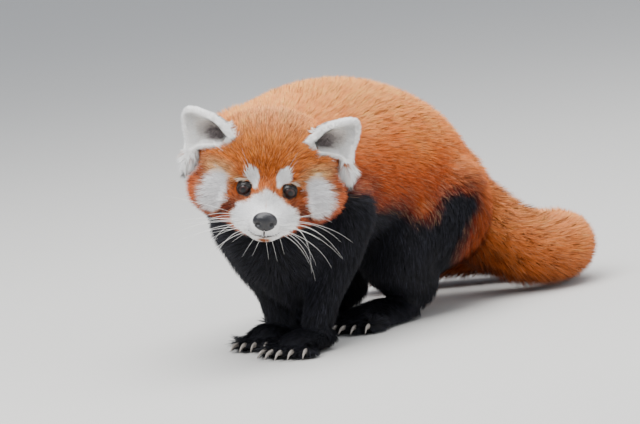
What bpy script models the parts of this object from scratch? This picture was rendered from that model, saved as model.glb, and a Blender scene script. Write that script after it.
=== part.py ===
"""A red panda at life size, crouched on all fours with its face to the viewer and its tail curled behind it.

Metres, +Z up. The face and the forelegs look along -Y, and +X is the animal's left. The origin is on the
floor, under the middle of the animal's box. Lengths in the tables below are millimetres, before the last
step moves the finished animal over its origin.
"""

import math
import random

import bmesh
import bpy
import numpy as np
from mathutils import Euler, Matrix, Vector
from mathutils.bvhtree import BVHTree

MM = 0.001
GAP = 0.3 * MM

# The head's own frame: its origin is midway between the eyes, +X to the animal's left, +Y back, +Z up.
HEAD_PLACE = (-43, -45, 151)
HEAD_NOD = math.radians(11.5)
HEAD_TILT = math.radians(10.6)

# Head forms: centre and radii in the head's frame. Those off the middle are mirrored.
HEAD_FORMS = {
    "cranium": ((0, 50, 7), (60, 52, 50)),
    "occiput": ((0, 62, -2), (52, 38, 44)),
    "cheek": ((34, 38, -9), (33, 34, 33)),
    "brow": ((19, 10, 11), (13, 11, 8)),
    "bridge": ((0, 4, -5), (15, 22, 14)),
    "lip_pad": ((9, -15, -25), (12.5, 13, 10.5)),
    "chin": ((0, -8, -34), (16, 17, 9)),
    "under_eye": ((24, 9, -13), (15, 13, 11)),
}
# Muzzle stations: centre, half width and half height.
MUZZLE = [
    ((0, 26, -16), 43, 33),
    ((0, 8, -19), 32, 26),
    ((0, -5, -21), 26, 21),
    ((0, -15, -22), 22, 17.5),
    ((0, -21, -22), 17.5, 14),
]
NOSE_CENTRE, NOSE_RADII = (0, -29, -18), (10.5, 6.5, 8.5)
NOSTRIL_CENTRE, NOSTRIL_RADIUS = (5.2, -34.6, -19.5), 1.9
EYE_CENTRE, EYE_RADIUS = (18.8, 5.5, 0), 7.5
EYE_TURN_OUT = math.radians(16)
LID_THICKNESS, EYE_SEGMENTS = 1.2, 16
EYE_OPENING, OPENING_FORWARD = (5.8, 16, 5.2), 10
MOUTH_HALF_WIDTH, MOUTH_HEIGHT, MOUTH_RISE, MOUTH_GROOVE = 19, -31.5, 3.5, 1.0

# Ear: the middle of its base, its tip, and its sizes; the cup is an ellipsoid cut out of its front.
EAR_BASE, EAR_TIP = (50, 57, 23), (74, 61, 50)
EAR_BASE_HALF, EAR_THICK = 25, 9
EAR_CUP_SHARE, EAR_CUP_RADII, EAR_CUP_FORWARD = 0.42, (17, 10, 24), 9.5

# Trunk stations: centre, half width, half height.
TORSO = [
    ((-40, 46, 112), 50, 50),
    ((-38, 66, 146), 70, 66),
    ((-16, 118, 144), 82, 80),
    ((24, 178, 142), 84, 82),
    ((68, 230, 120), 78, 78),
    ((100, 266, 100), 60, 58),
]
NECK = [
    ((-41, 20, 158), 50, 50),
    ((-39, 52, 152), 60, 62),
    ((-32, 90, 144), 68, 70),
]
BREAST = ((-36, 44, 96), (46, 38, 42))
SHOULDER = ((-62, 96, 164), (42, 44, 50))

# Limb joints from the top down, and the radii of each joint with its coat.
FORELEG_JOINTS = {
    "left": [(14, 60, 112), (8, 52, 82), (-4, 39, 50), (-13, 26, 24)],
    "right": [(-60, 74, 112), (-57, 84, 82), (-48, 92, 50), (-45, 88, 24)],
}
FORELEG_RADII = [36, 29, 21, 18]
HINDLEG_JOINTS = {
    "left": [(98, 205, 92), (66, 156, 64), (78, 172, 34), (66, 158, 20)],
    "right": [(38, 255, 92), (-6, 208, 64), (16, 228, 34), (4, 214, 20)],
}
HINDLEG_RADII = [58, 42, 27, 20]
# Paws: the heel or wrist, the root of the middle toe, half width and half height.
PAWS = {
    "forepaw_left": ((-13, 28, 12), (-32, 4, 10), 22, 14),
    "forepaw_right": ((-45, 94, 12), (-58, 70, 10), 21, 14),
    "hindpaw_left": ((66, 158, 13), (26, 112, 10), 22, 14),
    "hindpaw_right": ((4, 214, 13), (-31, 167, 10), 22, 14),
}
TOE_RADIUS, TOE_LENGTH, TOE_SPREAD, TOE_HEIGHT = 7.6, 11, math.radians(36), 7
CLAW_RADIUS, CLAW_LENGTH, CLAW_DROP = 2.6, 12, 4.2

# Tail stations: centre, half width, half height; the first two are inside the rump.
TAIL = [
    ((100, 258, 106), 46, 46),
    ((128, 266, 82), 43, 43),
    ((156, 262, 57), 41, 42),
    ((184, 254, 42), 39, 42),
    ((208, 263, 37), 37, 38),
    ((220, 290, 34.5), 35, 35),
    ((216, 318, 34.5), 35, 35),
    ((193, 341, 34.5), 35, 35),
    ((156, 354, 35), 36, 36),
    ((114, 362, 35), 36, 36),
    ((74, 362, 34), 35, 35),
    ((44, 354, 31), 29, 31),
]
TAIL_LENGTHS, TAIL_FIRST_CUT = 4, 0.15

BODY_VOXEL, BODY_SMOOTHING = 4 * MM, 14
HEAD_VOXEL, HEAD_SMOOTHING = 2.8 * MM, 9
FINE_VOXEL = 2.2 * MM
SEAM_SMOOTHING = 3
HEAD_TRIANGLES, BODY_TRIANGLES = 1550, 1850

# The coat's locks rise from a core that lies this far under their tips, in mm.
TRUNK_INSET, TAIL_INSET, CHEEK_INSET = 7, 11, 6
# Locks: rows, count around, length, half width, in mm, and the arc that they cover, in degrees either way.
TRUNK_LOCKS = {"rows": 6, "around": 8, "length": 68, "half_width": 27, "arc": 108, "first": 0.17, "last": 0.86}
TAIL_LOCKS = {"rows": 10, "around": 5, "length": 44, "half_width": 22, "arc": 180, "first": 0.17, "last": 0.95}
LOCK_SUNK, LOCK_HALF_THICK, LOCK_BELLY, LOCK_SWELL, LOCK_SEED = 2.5, 2.6, 0.55, 0.72, 11
EAR_LOCK_RISE, BEND_LIMIT = 3, 0.05
# Locks of the head in its own frame: root, direction, length and half width. Each is mirrored.
CHEEK_LOCKS = [
    ((62, 44, 14), (0.75, 0.45, -0.40), 24, 9),
    ((66, 42, 2), (0.72, 0.40, -0.60), 24, 10),
    ((66, 40, -9), (0.55, 0.30, -0.78), 25, 10),
    ((62, 38, -20), (0.40, 0.20, -0.90), 24, 10),
    ((54, 35, -30), (0.20, 0.15, -0.95), 22, 10),
    ((43, 31, -36), (0.05, 0.15, -0.98), 20, 10),
    ((58, 24, 4), (0.85, 0.40, -0.35), 24, 9),
    ((58, 22, -8), (0.78, 0.40, -0.50), 24, 10),
    ((53, 19, -18), (0.65, 0.35, -0.68), 24, 10),
    ((45, 16, -26), (0.45, 0.30, -0.85), 22, 9),
]
EAR_LOCKS = [
    ((66, 54, 30), (0.70, -0.35, -0.62), 20, 5),
    ((69, 55, 22), (0.62, -0.25, -0.74), 22, 6),
    ((67, 55, 14), (0.45, -0.10, -0.88), 24, 6),
    ((60, 52, 18), (0.60, -0.55, -0.58), 18, 5),
]

# Thin cuts that part the whole: a point of the section that each one severs, and the cut's normal.
CUTS = {
    "head from neck": ((-41, 30, 144), (0, 0.90, -0.44)),
    "neck from trunk": ((-41, 52, 154), (0, 0.853, -0.522)),
    "left foreleg": ((6, 50, 68), (-0.51, 0.34, 0.79)),
    "right foreleg": ((-53, 88, 66), (0.53, 0.0, 0.85)),
    "left wrist": ((-12, 28, 28), (0, 0, 1)),
    "right wrist": ((-45, 89, 28), (0, 0, 1)),
    "left hock": ((79, 178, 42), (0, 0, 1)),
    "right hock": ((8, 232, 42), (0, 0, 1)),
    "tail root": ((158, 262, 57), (0.97, 0.20, -0.15)),
}
CUT_MARGIN, LOCK_REACH = 2.0, 12
# The seam of a thigh is a shell round the haunch: centre, sideways, lengthwise and upright radii, in mm,
# the body's direction there, and the height of the hock's cut where the shell ends.
HAUNCHES = {"left": (98, 164, 76), "right": (-2, 250, 76)}
HAUNCH_RADII, HAUNCH_ALONG, HOCK_CUT = (56, 78, 52), (0.65, 0.76), 42

# The plane between an ear and the head: its lift over the middle of the ear's base.
EAR_CUT_LIFT = 7

# A point inside each part, in mm; those of the head are in the head's frame.
PARTS = {
    "neck": (-41, 54, 190),
    "torso": (0, 150, 150),
    "foreleg_left": (2, 44, 54),
    "foreleg_right": (-48, 92, 50),
    "forepaw_left": (-20, 20, 12),
    "forepaw_right": (-48, 88, 12),
    "thigh_left": (68, 158, 62),
    "thigh_right": (-4, 210, 62),
    "hindpaw_left": (40, 128, 12),
    "hindpaw_right": (-16, 187, 12),
}

COLOURS = {
    "russet": (0.50, 0.16, 0.04),
    "black": (0.012, 0.010, 0.012),
    "white": (0.80, 0.76, 0.70),
    "horn": (0.30, 0.26, 0.22),
    "nose": (0.02, 0.02, 0.022),
    "eye": (0.03, 0.012, 0.006),
}


def clear_scene():
    for obj in list(bpy.data.objects):
        bpy.data.objects.remove(obj)


def paint(name, colour, roughness):
    material = bpy.data.materials.new(name)
    material.use_nodes = True
    shader = material.node_tree.nodes["Principled BSDF"]
    shader.inputs["Base Color"].default_value = (*COLOURS[colour], 1)
    shader.inputs["Roughness"].default_value = roughness
    shader.inputs["Metallic"].default_value = 0
    return material


def new_object(name, mesh, collection):
    obj = bpy.data.objects.new(name, mesh)
    collection.objects.link(obj)
    return obj


def new_collection(name):
    made = bpy.data.collections.new(name)
    bpy.context.scene.collection.children.link(made)
    return made


def head_matrix():
    turn = Euler((HEAD_NOD, 0, 0)).to_matrix()
    tilt = Matrix.Rotation(HEAD_TILT, 3, "Y")
    return Matrix.Translation(Vector(HEAD_PLACE) * MM) @ (tilt @ turn).to_4x4()


def sides(centre):
    """The signs of X that a form takes: both for a form off the middle."""
    return (1, -1) if centre[0] else (1,)


def ball(centre, radii, place=Matrix(), spin=Matrix(), segments=32):
    """A closed ellipsoid with its centre and radii in millimetres of the frame that place gives."""
    form = bmesh.new()
    bmesh.ops.create_uvsphere(form, u_segments=segments, v_segments=segments // 2, radius=1)
    size = Matrix.Diagonal((*(r * MM for r in radii), 1))
    form.transform(place @ Matrix.Translation(Vector(centre) * MM) @ spin @ size)
    if spin.determinant() < 0:
        bmesh.ops.reverse_faces(form, faces=form.faces)
    return form


def smooth_stations(stations, per_span=6):
    """Points of a Catmull-Rom curve through the stations, each a row of numbers."""
    rows = np.array(stations, float)
    rows = np.vstack([2 * rows[0] - rows[1], rows, 2 * rows[-1] - rows[-2]])
    found = []
    for i in range(1, len(rows) - 2):
        a, b, c, d = rows[i - 1 : i + 3]
        for t in np.arange(per_span) / per_span:
            found.append(
                0.5 * (2 * b + (c - a) * t + (2 * a - 5 * b + 4 * c - d) * t**2 + (3 * b - a - 3 * c + d) * t**3)
            )
    return np.array([*found, rows[-2]])


def frames(line, reference):
    """Tangent, side and upper directions along a line, with no twist."""
    tangents = np.gradient(line, axis=0)
    tangents /= np.linalg.norm(tangents, axis=1)[:, None]
    side = np.cross(tangents[0], reference)
    sides_found = []
    for tangent in tangents:
        side = side - tangent * (side @ tangent)
        side /= np.linalg.norm(side)
        sides_found.append(side)
    sides_found = np.array(sides_found)
    return tangents, sides_found, np.cross(sides_found, tangents)


def tube(stations, reference=(0, 0, 1), place=Matrix(), around=28, per_span=6, caps=(18, 40, 68)):
    """A closed tube through stations of (centre, half width, half height), with rounded ends."""
    rows = smooth_stations([(*centre, *half) for centre, *half in stations], per_span)
    line, half = rows[:, :3], rows[:, 3:]
    tangents, side, up = frames(line, np.array(reference, float))
    rings = []
    for cap in np.radians(caps[::-1]):
        rings.append((line[0] - tangents[0] * half[0].min() * math.sin(cap), half[0] * math.cos(cap), 0))
    rings += [(line[i], half[i], i) for i in range(len(line))]
    for cap in np.radians(caps):
        rings.append((line[-1] + tangents[-1] * half[-1].min() * math.sin(cap), half[-1] * math.cos(cap), -1))
    form = bmesh.new()
    loops = []
    for centre, (width, height), i in rings:
        turns = [2 * math.pi * k / around for k in range(around)]
        points = [centre + side[i] * width * math.cos(a) + up[i] * height * math.sin(a) for a in turns]
        loops.append([form.verts.new(Vector(p) * MM) for p in points])
    for low, high in zip(loops, loops[1:]):
        for k in range(around):
            form.faces.new((low[k], high[k], high[k - 1], low[k - 1]))
    form.faces.new(loops[0])
    form.faces.new(loops[-1])
    bmesh.ops.recalc_face_normals(form, faces=form.faces)
    form.transform(place)
    return form


def joined(forms):
    """One mesh that holds all the forms."""
    whole = bmesh.new()
    for form in forms:
        mesh = bpy.data.meshes.new("form")
        form.to_mesh(mesh)
        form.free()
        whole.from_mesh(mesh)
        bpy.data.meshes.remove(mesh)
    mesh = bpy.data.meshes.new("forms")
    whole.to_mesh(mesh)
    whole.free()
    return mesh


def form_of(obj):
    """The object's surface as a form; the object itself goes."""
    form = bmesh.new()
    form.from_mesh(obj.data)
    bpy.data.objects.remove(obj)
    return form


def applied(obj):
    """The object's mesh with its modifiers applied, and the modifiers gone."""
    graph = bpy.context.evaluated_depsgraph_get()
    mesh = bpy.data.meshes.new_from_object(obj.evaluated_get(graph))
    obj.modifiers.clear()
    obj.data = mesh
    return obj


def fused(name, mesh, voxel, smoothing, collection):
    """The forms of a mesh melted into one skin."""
    obj = new_object(name, mesh, collection)
    remesh = obj.modifiers.new("one skin", "REMESH")
    remesh.mode = "VOXEL"
    remesh.voxel_size = voxel
    smooth = obj.modifiers.new("soften", "SMOOTH")
    smooth.factor = 0.5
    smooth.iterations = smoothing
    return applied(obj)


def drawn_in(stations, inset):
    return [(centre, width - inset, height - inset) for centre, width, height in stations]


def torso_forms():
    """The trunk's core: the outline at the lock tips, drawn in."""
    forms = [tube(drawn_in(stations, TRUNK_INSET)) for stations in (TORSO, NECK)]
    for centre, radii in (BREAST, SHOULDER):
        forms.append(ball(centre, [r - TRUNK_INSET for r in radii]))
    return forms


def limb_forms():
    forms = []
    for joints, radii in ((FORELEG_JOINTS, FORELEG_RADII), (HINDLEG_JOINTS, HINDLEG_RADII)):
        for line in joints.values():
            forms.append(tube([(p, r, r) for p, r in zip(line, radii)], reference=(1, 0, 0)))
    return forms


def toe_places(heel, toes, half_width):
    """The root and the direction of each of the five toes of a paw."""
    back, front = Vector(heel), Vector(toes)
    along = front - back
    along.z = 0
    along.normalize()
    across = Vector((along.y, -along.x, 0))
    for k in range(5):
        share = (k - 2) / 2
        turn = Matrix.Rotation(-share * TOE_SPREAD / 2, 3, "Z")
        reach = (half_width - TOE_RADIUS * 0.6) * share
        root = front + across * reach + along * (9 - 6 * share * share)
        yield Vector((root.x, root.y, TOE_HEIGHT)), turn @ along


def paw_forms():
    forms = []
    for heel, toes, half_width, half_height in PAWS.values():
        forms.append(tube([(heel, half_width * 0.8, half_height), (toes, half_width, half_height * 0.9)]))
        for root, along in toe_places(heel, toes, half_width):
            tip = root + along * TOE_LENGTH
            forms.append(tube([(root, TOE_RADIUS, TOE_RADIUS), (tip, TOE_RADIUS * 0.85, TOE_RADIUS * 0.85)]))
    return forms


def claw_forms():
    """Curved cones at the toe tips, their roots inside the toes."""
    forms = []
    for heel, toes, half_width, _ in PAWS.values():
        for root, along in toe_places(heel, toes, half_width):
            start = root + along * (TOE_LENGTH + 2)
            middle = start + along * (CLAW_LENGTH * 0.55) + Vector((0, 0, 0.4))
            tip = start + along * CLAW_LENGTH - Vector((0, 0, CLAW_DROP))
            sizes = ((start, CLAW_RADIUS), (middle, CLAW_RADIUS * 0.72), (tip, CLAW_RADIUS * 0.25))
            forms.append(tube([(p, r, r) for p, r in sizes], around=5, per_span=1, caps=(50,)))
    return forms


def head_forms(place):
    forms = [tube(MUZZLE, place=place)]
    for name, (centre, radii) in HEAD_FORMS.items():
        inset = CHEEK_INSET if name == "cheek" else 0
        for side in sides(centre):
            forms.append(ball((side * centre[0], *centre[1:]), [r - inset for r in radii], place))
    return forms


def ear_axes(side):
    """The base, and the outward, sideways and forward directions of an ear in the head's frame."""
    base, tip = Vector(EAR_BASE), Vector(EAR_TIP)
    out = (tip - base).normalized()
    across = out.cross(Vector((0, -1, 0))).normalized()
    forward = across.cross(out)
    flip = Matrix.Diagonal((side, 1, 1))
    return flip @ base, flip @ out, flip @ across, flip @ forward, (tip - base).length


def ear_forms(place):
    forms = []
    for side in (1, -1):
        base, out, across, _, length = ear_axes(side)
        stations = []
        for share, half in ((-0.35, 1.0), (0.0, 1.0), (0.45, 0.86), (0.8, 0.6), (1.0, 0.38)):
            centre = base + out * (length * share)
            stations.append((centre, EAR_BASE_HALF * half, EAR_THICK * (0.6 + 0.4 * half)))
        forms.append(tube(stations, reference=across.cross(out), place=place))
    return forms


def ear_cup_forms(place):
    forms = []
    for side in (1, -1):
        base, out, across, forward, length = ear_axes(side)
        centre = base + out * (length * EAR_CUP_SHARE + EAR_CUP_RADII[2] * 0.2) + forward * EAR_CUP_FORWARD
        spin = Matrix((across, -forward, out)).transposed().to_4x4()
        forms.append(ball(centre, EAR_CUP_RADII, place, spin, segments=12))
    return forms


def eye_spin(side):
    """The eye's own frame, turned out from the head's."""
    return Matrix.Rotation(side * EYE_TURN_OUT, 4, "Z")


def mirrored(centre, side):
    return (side * centre[0], *centre[1:])


def lid_forms(place):
    size = (EYE_RADIUS + LID_THICKNESS,) * 3
    return [ball(mirrored(EYE_CENTRE, side), size, place, segments=14) for side in (1, -1)]


def eye_opening_forms(place):
    """What is taken out of the lids: an almond-shaped way to each eye."""
    forms = []
    for side in (1, -1):
        spin = eye_spin(side)
        centre = Vector(mirrored(EYE_CENTRE, side)) + spin.to_3x3() @ Vector((0, -OPENING_FORWARD, 0))
        forms.append(ball(centre, EYE_OPENING, place, spin, segments=12))
    return forms


def socket_forms(place):
    size = (EYE_RADIUS + GAP / MM,) * 3
    return [ball(mirrored(EYE_CENTRE, side), size, place, segments=EYE_SEGMENTS) for side in (1, -1)]


def mouth_form(head, place):
    """A thin groove that follows the surface of the muzzle along the line of the mouth."""
    tree = BVHTree.FromObject(head, bpy.context.evaluated_depsgraph_get())
    forward = place.to_3x3() @ Vector((0, 1, 0))
    points = []
    for share in np.linspace(-1, 1, 13):
        across = share * MOUTH_HALF_WIDTH
        height = MOUTH_HEIGHT + MOUTH_RISE * share * share
        start = place @ (Vector((across, -80, height)) * MM)
        points.append(place.inverted() @ tree.ray_cast(start, forward)[0] / MM)
    return tube([(p, MOUTH_GROOVE, MOUTH_GROOVE) for p in points], place=place, around=6, per_span=1, caps=(45,))


def nose_forms(place, grown=0.0):
    return [ball(NOSE_CENTRE, [r + grown for r in NOSE_RADII], place, segments=16)]


def section(mesh, centre, normal):
    """The outline of the mesh's section around a point of a plane, as points of the plane, in mm."""
    whole = bmesh.new()
    whole.from_mesh(mesh)
    everything = [*whole.verts, *whole.edges, *whole.faces]
    found = bmesh.ops.bisect_plane(whole, geom=everything, dist=1e-7, plane_co=centre * MM, plane_no=normal)
    near = {}
    for edge in found["geom_cut"]:
        if isinstance(edge, bmesh.types.BMEdge):
            for vert in edge.verts:
                near.setdefault(vert, set()).add(edge.other_vert(vert))
    turn = normal.to_track_quat("Z", "Y").to_matrix()
    seen = set()
    outlines = []
    for first in near:
        if first in seen:
            continue
        line, at = [], first
        while at is not None:
            seen.add(at)
            flat = turn.inverted() @ (at.co / MM - centre)
            line.append((flat.x, flat.y))
            at = next((other for other in near[at] if other not in seen), None)
        outlines.append(np.array(line))
    whole.free()
    around = [line for line in outlines if len(line) > 2 and encloses(line)]
    main_line = max(around, key=lambda line: np.ptp(line, axis=0).prod())
    reach = np.linalg.norm(main_line, axis=1).max() + LOCK_REACH
    tips = [line for line in outlines if np.linalg.norm(line, axis=1).max() < reach]
    return np.vstack([main_line, *tips]), turn


def encloses(line):
    """Whether a closed line of plane points goes round the origin."""
    angles = np.unwrap(np.arctan2(*np.vstack([line, line[:1]]).T[::-1]))
    return abs(angles[-1] - angles[0]) > math.pi


def hull(points):
    """The convex outline of plane points, in order."""
    rows = sorted(map(tuple, points))
    halves = []
    for ordered in (rows, rows[::-1]):
        half = []
        for p in ordered:
            while len(half) > 1 and turns_right(half[-2], half[-1], p):
                half.pop()
            half.append(p)
        halves += half[:-1]
    return np.array(halves)


def turns_right(a, b, c):
    return (b[0] - a[0]) * (c[1] - a[1]) - (b[1] - a[1]) * (c[0] - a[0]) <= 0


def cutters(mesh):
    """A thin plate across each section that parts the whole animal."""
    place = head_matrix()
    planes = [(Vector(p), Vector(n).normalized()) for p, n in CUTS.values()]
    for side in (1, -1):
        base, out, *_ = ear_axes(side)
        centre = place @ ((base + out * EAR_CUT_LIFT) * MM) / MM
        planes.append((centre, place.to_3x3() @ out))
    planes += tail_cuts()
    forms = []
    for centre, normal in planes:
        outline, turn = section(mesh, centre, normal)
        edge = hull(outline)
        outward = edge - edge.mean(axis=0)
        edge = edge + CUT_MARGIN * outward / np.linalg.norm(outward, axis=1)[:, None]
        form = bmesh.new()
        low, high = [
            [form.verts.new((centre + turn @ Vector((x, y, z))) * MM) for x, y in edge]
            for z in (-GAP / MM / 2, GAP / MM / 2)
        ]
        form.faces.new(low[::-1])
        form.faces.new(high)
        for k in range(len(edge)):
            form.faces.new((low[k - 1], low[k], high[k], high[k - 1]))
        bmesh.ops.recalc_face_normals(form, faces=form.faces)
        forms.append(form)
    return forms


def haunch_forms():
    """A thin open shell round each haunch, down to the cut over the hock."""
    forms = []
    along = Vector((*HAUNCH_ALONG, 0)).normalized()
    spin = Matrix((Vector((along.y, -along.x, 0)), along, Vector((0, 0, 1)))).transposed().to_4x4()
    for centre in HAUNCHES.values():
        form = ball(centre, HAUNCH_RADII, spin=spin, segments=14)
        everything = [*form.verts, *form.edges, *form.faces]
        low = Vector((0, 0, HOCK_CUT * MM - GAP / 4))
        bmesh.ops.bisect_plane(form, geom=everything, plane_co=low, plane_no=(0, 0, 1), clear_inner=True)
        bmesh.ops.solidify(form, geom=form.faces[:], thickness=GAP)
        bmesh.ops.recalc_face_normals(form, faces=form.faces)
        forms.append(form)
    return forms


def tail_line():
    """Points along the tail, their shares of its length, and the tangents there."""
    rows = smooth_stations([(*centre, *half) for centre, *half in TAIL])[:, :3]
    steps = np.linalg.norm(np.diff(rows, axis=0), axis=1)
    shares = np.concatenate([[0], np.cumsum(steps)]) / steps.sum()
    return rows, shares, frames(rows, np.array((0, 0, 1.0)))[0]


def on_tail(share, shares, values):
    return Vector([np.interp(share, shares, values[:, i]) for i in range(3)])


def tail_cuts():
    """Planes across the tail between its lengths."""
    rows, shares, tangents = tail_line()
    planes = []
    for k in range(1, TAIL_LENGTHS):
        share = TAIL_FIRST_CUT + (1 - TAIL_FIRST_CUT) * k / TAIL_LENGTHS
        planes.append((on_tail(share, shares, rows), on_tail(share, shares, tangents).normalized()))
    return planes


def tail_labels():
    """A point inside each length of the tail."""
    rows, shares, _ = tail_line()
    labels = {}
    for k in range(TAIL_LENGTHS):
        share = TAIL_FIRST_CUT + (1 - TAIL_FIRST_CUT) * (k + 0.5) / TAIL_LENGTHS
        labels[f"tail_{k + 1}"] = on_tail(share, shares, rows)
    return labels


def head_labels():
    place = head_matrix()
    labels = {"head": (0, 40, 0)}
    for name, side in (("left", 1), ("right", -1)):
        base, out, _, forward, length = ear_axes(side)
        labels[f"ear_{name}"] = base + out * (EAR_CUT_LIFT + 1.5) - forward * 3
    return {name: place @ (Vector(p) * MM) / MM for name, p in labels.items()}


def boolean(obj, operation, forms):
    """The object after one Boolean with a collection of all the forms."""
    cutters_used = new_collection("cutters")
    made = []
    for form in forms:
        made.append(new_object("cutter", joined([form]), cutters_used))
        made[-1].hide_render = True
        made[-1].display_type = "WIRE"
    step = obj.modifiers.new(operation.lower(), "BOOLEAN")
    step.operation = operation
    step.solver = "MANIFOLD"
    step.operand_type = "COLLECTION"
    step.collection = cutters_used
    applied(obj)
    for each in made:
        bpy.data.objects.remove(each)
    bpy.data.collections.remove(cutters_used)
    return obj


def thinned(obj, triangles):
    """The object with about this many triangles."""
    obj.data.calc_loop_triangles()
    thin = obj.modifiers.new("fewer faces", "DECIMATE")
    thin.ratio = min(1, triangles / len(obj.data.loop_triangles))
    return applied(obj)


def with_forms(obj, forms):
    """One mesh of the object's surface and the forms; the object itself goes."""
    both = form_of(obj)
    both.from_mesh(joined(forms))
    mesh = bpy.data.meshes.new("forms")
    both.to_mesh(mesh)
    both.free()
    return mesh


def body_skin(work):
    """Trunk, limbs and tail melted into one soft skin, with the finer paws melted in after."""
    forms = [*torso_forms(), *limb_forms(), tube(drawn_in(TAIL, TAIL_INSET))]
    trunk = fused("trunk", joined(forms), BODY_VOXEL, BODY_SMOOTHING, work)
    both = with_forms(trunk, paw_forms())
    return thinned(fused("body", both, FINE_VOXEL, SEAM_SMOOTHING, work), BODY_TRIANGLES)


def head_skin(place, work):
    """The head and its ears as one skin, with the lids."""
    skull = fused("skull", joined(head_forms(place)), HEAD_VOXEL, HEAD_SMOOTHING, work)
    both = with_forms(skull, ear_forms(place))
    head = thinned(fused("head", both, FINE_VOXEL, SEAM_SMOOTHING, work), HEAD_TRIANGLES)
    return boolean(head, "UNION", lid_forms(place))


def hollow_forms(whole, place):
    """What is taken out of the whole: sockets and openings of the eyes, ear cups, mouth and nose seat."""
    taken = [*socket_forms(place), *eye_opening_forms(place), *ear_cup_forms(place)]
    return [*taken, mouth_form(whole, place), *nose_forms(place, GAP / MM), floor_form()]


def lock(tree, root, along, length, half_width, rise):
    """A flat tapered lock that starts under the core's surface, follows it and ends this far over it."""
    at, normal, *_ = tree.find_nearest(root)
    along = (along - normal * along.dot(normal)).normalized()
    rings = []
    for step, lift, width in ((0, -LOCK_SUNK, 0.5), (LOCK_BELLY, LOCK_SWELL * rise, 1.0)):
        height = lift * MM
        at, normal, *_ = tree.find_nearest(at + along * (length * step * MM))
        along = (along - normal * along.dot(normal)).normalized()
        side = along.cross(normal)
        edge = []
        for sign in (-1, 1):
            spot, out, *_ = tree.find_nearest(at + side * (sign * half_width * width * MM))
            edge.append(spot + out * height)
        middle = at + normal * height
        depth = normal * (LOCK_HALF_THICK * MM)
        rings.append((edge[0], middle + depth, edge[1], middle - depth))
    spot, out, *_ = tree.find_nearest(at + along * (length * (1 - LOCK_BELLY) * MM))
    form = bmesh.new()
    loops = [[form.verts.new(p) for p in ring] for ring in rings]
    tip = form.verts.new(spot + out * (rise * MM))
    form.faces.new(loops[0])
    for low, high in zip(loops, loops[1:]):
        for k in range(4):
            form.faces.new((low[k - 1], low[k], high[k], high[k - 1]))
    for k in range(4):
        form.faces.new((loops[-1][k - 1], loops[-1][k], tip))
    bmesh.ops.recalc_face_normals(form, faces=form.faces)
    return form


def tube_locks(tree, stations, inset, kind, fall, rng):
    """Rows of locks on a tube's core, from a station line, swept along it and falling by some share."""
    rows = smooth_stations([(*centre, *half) for centre, *half in stations])
    line, half = rows[:, :3], rows[:, 3:] - inset
    tangents, side, up = frames(line, np.array((0, 0, 1.0)))
    steps = np.linalg.norm(np.diff(line, axis=0), axis=1)
    shares = np.concatenate([[0], np.cumsum(steps)]) / steps.sum()
    bends = np.gradient(tangents, axis=0)
    forms = []
    for row, share in enumerate(np.linspace(kind["first"], kind["last"], kind["rows"])):
        for k in range(kind["around"]):
            turn = (k + 0.5 * (row % 2) + rng.uniform(-0.12, 0.12)) / kind["around"] * 2 - 1
            angle = math.radians(90 + kind["arc"] * turn)
            i = int(np.abs(shares - share - rng.uniform(-0.01, 0.01)).argmin())
            out = side[i] * (half[i][0] * math.cos(angle)) + up[i] * (half[i][1] * math.sin(angle))
            inner = out @ bends[i] / np.linalg.norm(out)
            if inner > BEND_LIMIT:
                continue
            root = Vector(line[i] + out) * MM
            along = Vector(tangents[i]) + Vector((0, 0, -fall * abs(math.cos(angle))))
            size = rng.uniform(0.88, 1.12)
            forms.append(lock(tree, root, along, kind["length"] * size, kind["half_width"] * size, inset))
    return forms


def coat_forms(tree, place):
    """Every lock of the coat."""
    rng = random.Random(LOCK_SEED)
    forms = tube_locks(tree, TORSO, TRUNK_INSET, TRUNK_LOCKS, 0.5, rng)
    forms += tube_locks(tree, TAIL, TAIL_INSET, TAIL_LOCKS, 0.0, rng)
    for table, rise in ((CHEEK_LOCKS, CHEEK_INSET), (EAR_LOCKS, EAR_LOCK_RISE)):
        for root, along, length, half_width in table:
            for side in (1, -1):
                start = place @ (Vector(mirrored(root, side)) * MM)
                sweep = place.to_3x3() @ Vector(mirrored(along, side))
                size = rng.uniform(0.9, 1.1)
                forms.append(lock(tree, start, sweep, length * size, half_width, rise))
    return forms


def floor_form():
    form = bmesh.new()
    bmesh.ops.create_cube(form, size=1)
    form.transform(Matrix.Translation((0.05, 0.2, -0.1)) @ Matrix.Diagonal((0.9, 1.1, 0.2, 1)))
    return form


def inside(tree, point):
    """Whether the point is inside a closed surface, by counting the walls above it."""
    hits, start, up = 0, Vector(point), Vector((0.013, 0.017, 1)).normalized()
    while True:
        found, *_ = tree.ray_cast(start, up)
        if found is None:
            return hits % 2 == 1
        hits += 1
        start = found + up * 1e-6


def loose_pieces(mesh):
    """The closed surfaces of a mesh as separate meshes."""
    whole = bmesh.new()
    whole.from_mesh(mesh)
    whole.verts.ensure_lookup_table()
    group = {}
    for first in whole.verts:
        if first in group:
            continue
        number = len(set(group.values()))
        group[first] = number
        waiting = [first]
        while waiting:
            for edge in waiting.pop().link_edges:
                for vert in edge.verts:
                    if vert not in group:
                        group[vert] = number
                        waiting.append(vert)
    pieces = []
    for number in sorted(set(group.values())):
        piece = whole.copy()
        piece.verts.ensure_lookup_table()
        drop = [piece.verts[v.index] for v in whole.verts if group[v] != number]
        bmesh.ops.delete(piece, geom=drop, context="VERTS")
        made = bpy.data.meshes.new("piece")
        piece.to_mesh(made)
        piece.free()
        pieces.append(made)
    whole.free()
    return pieces


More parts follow.
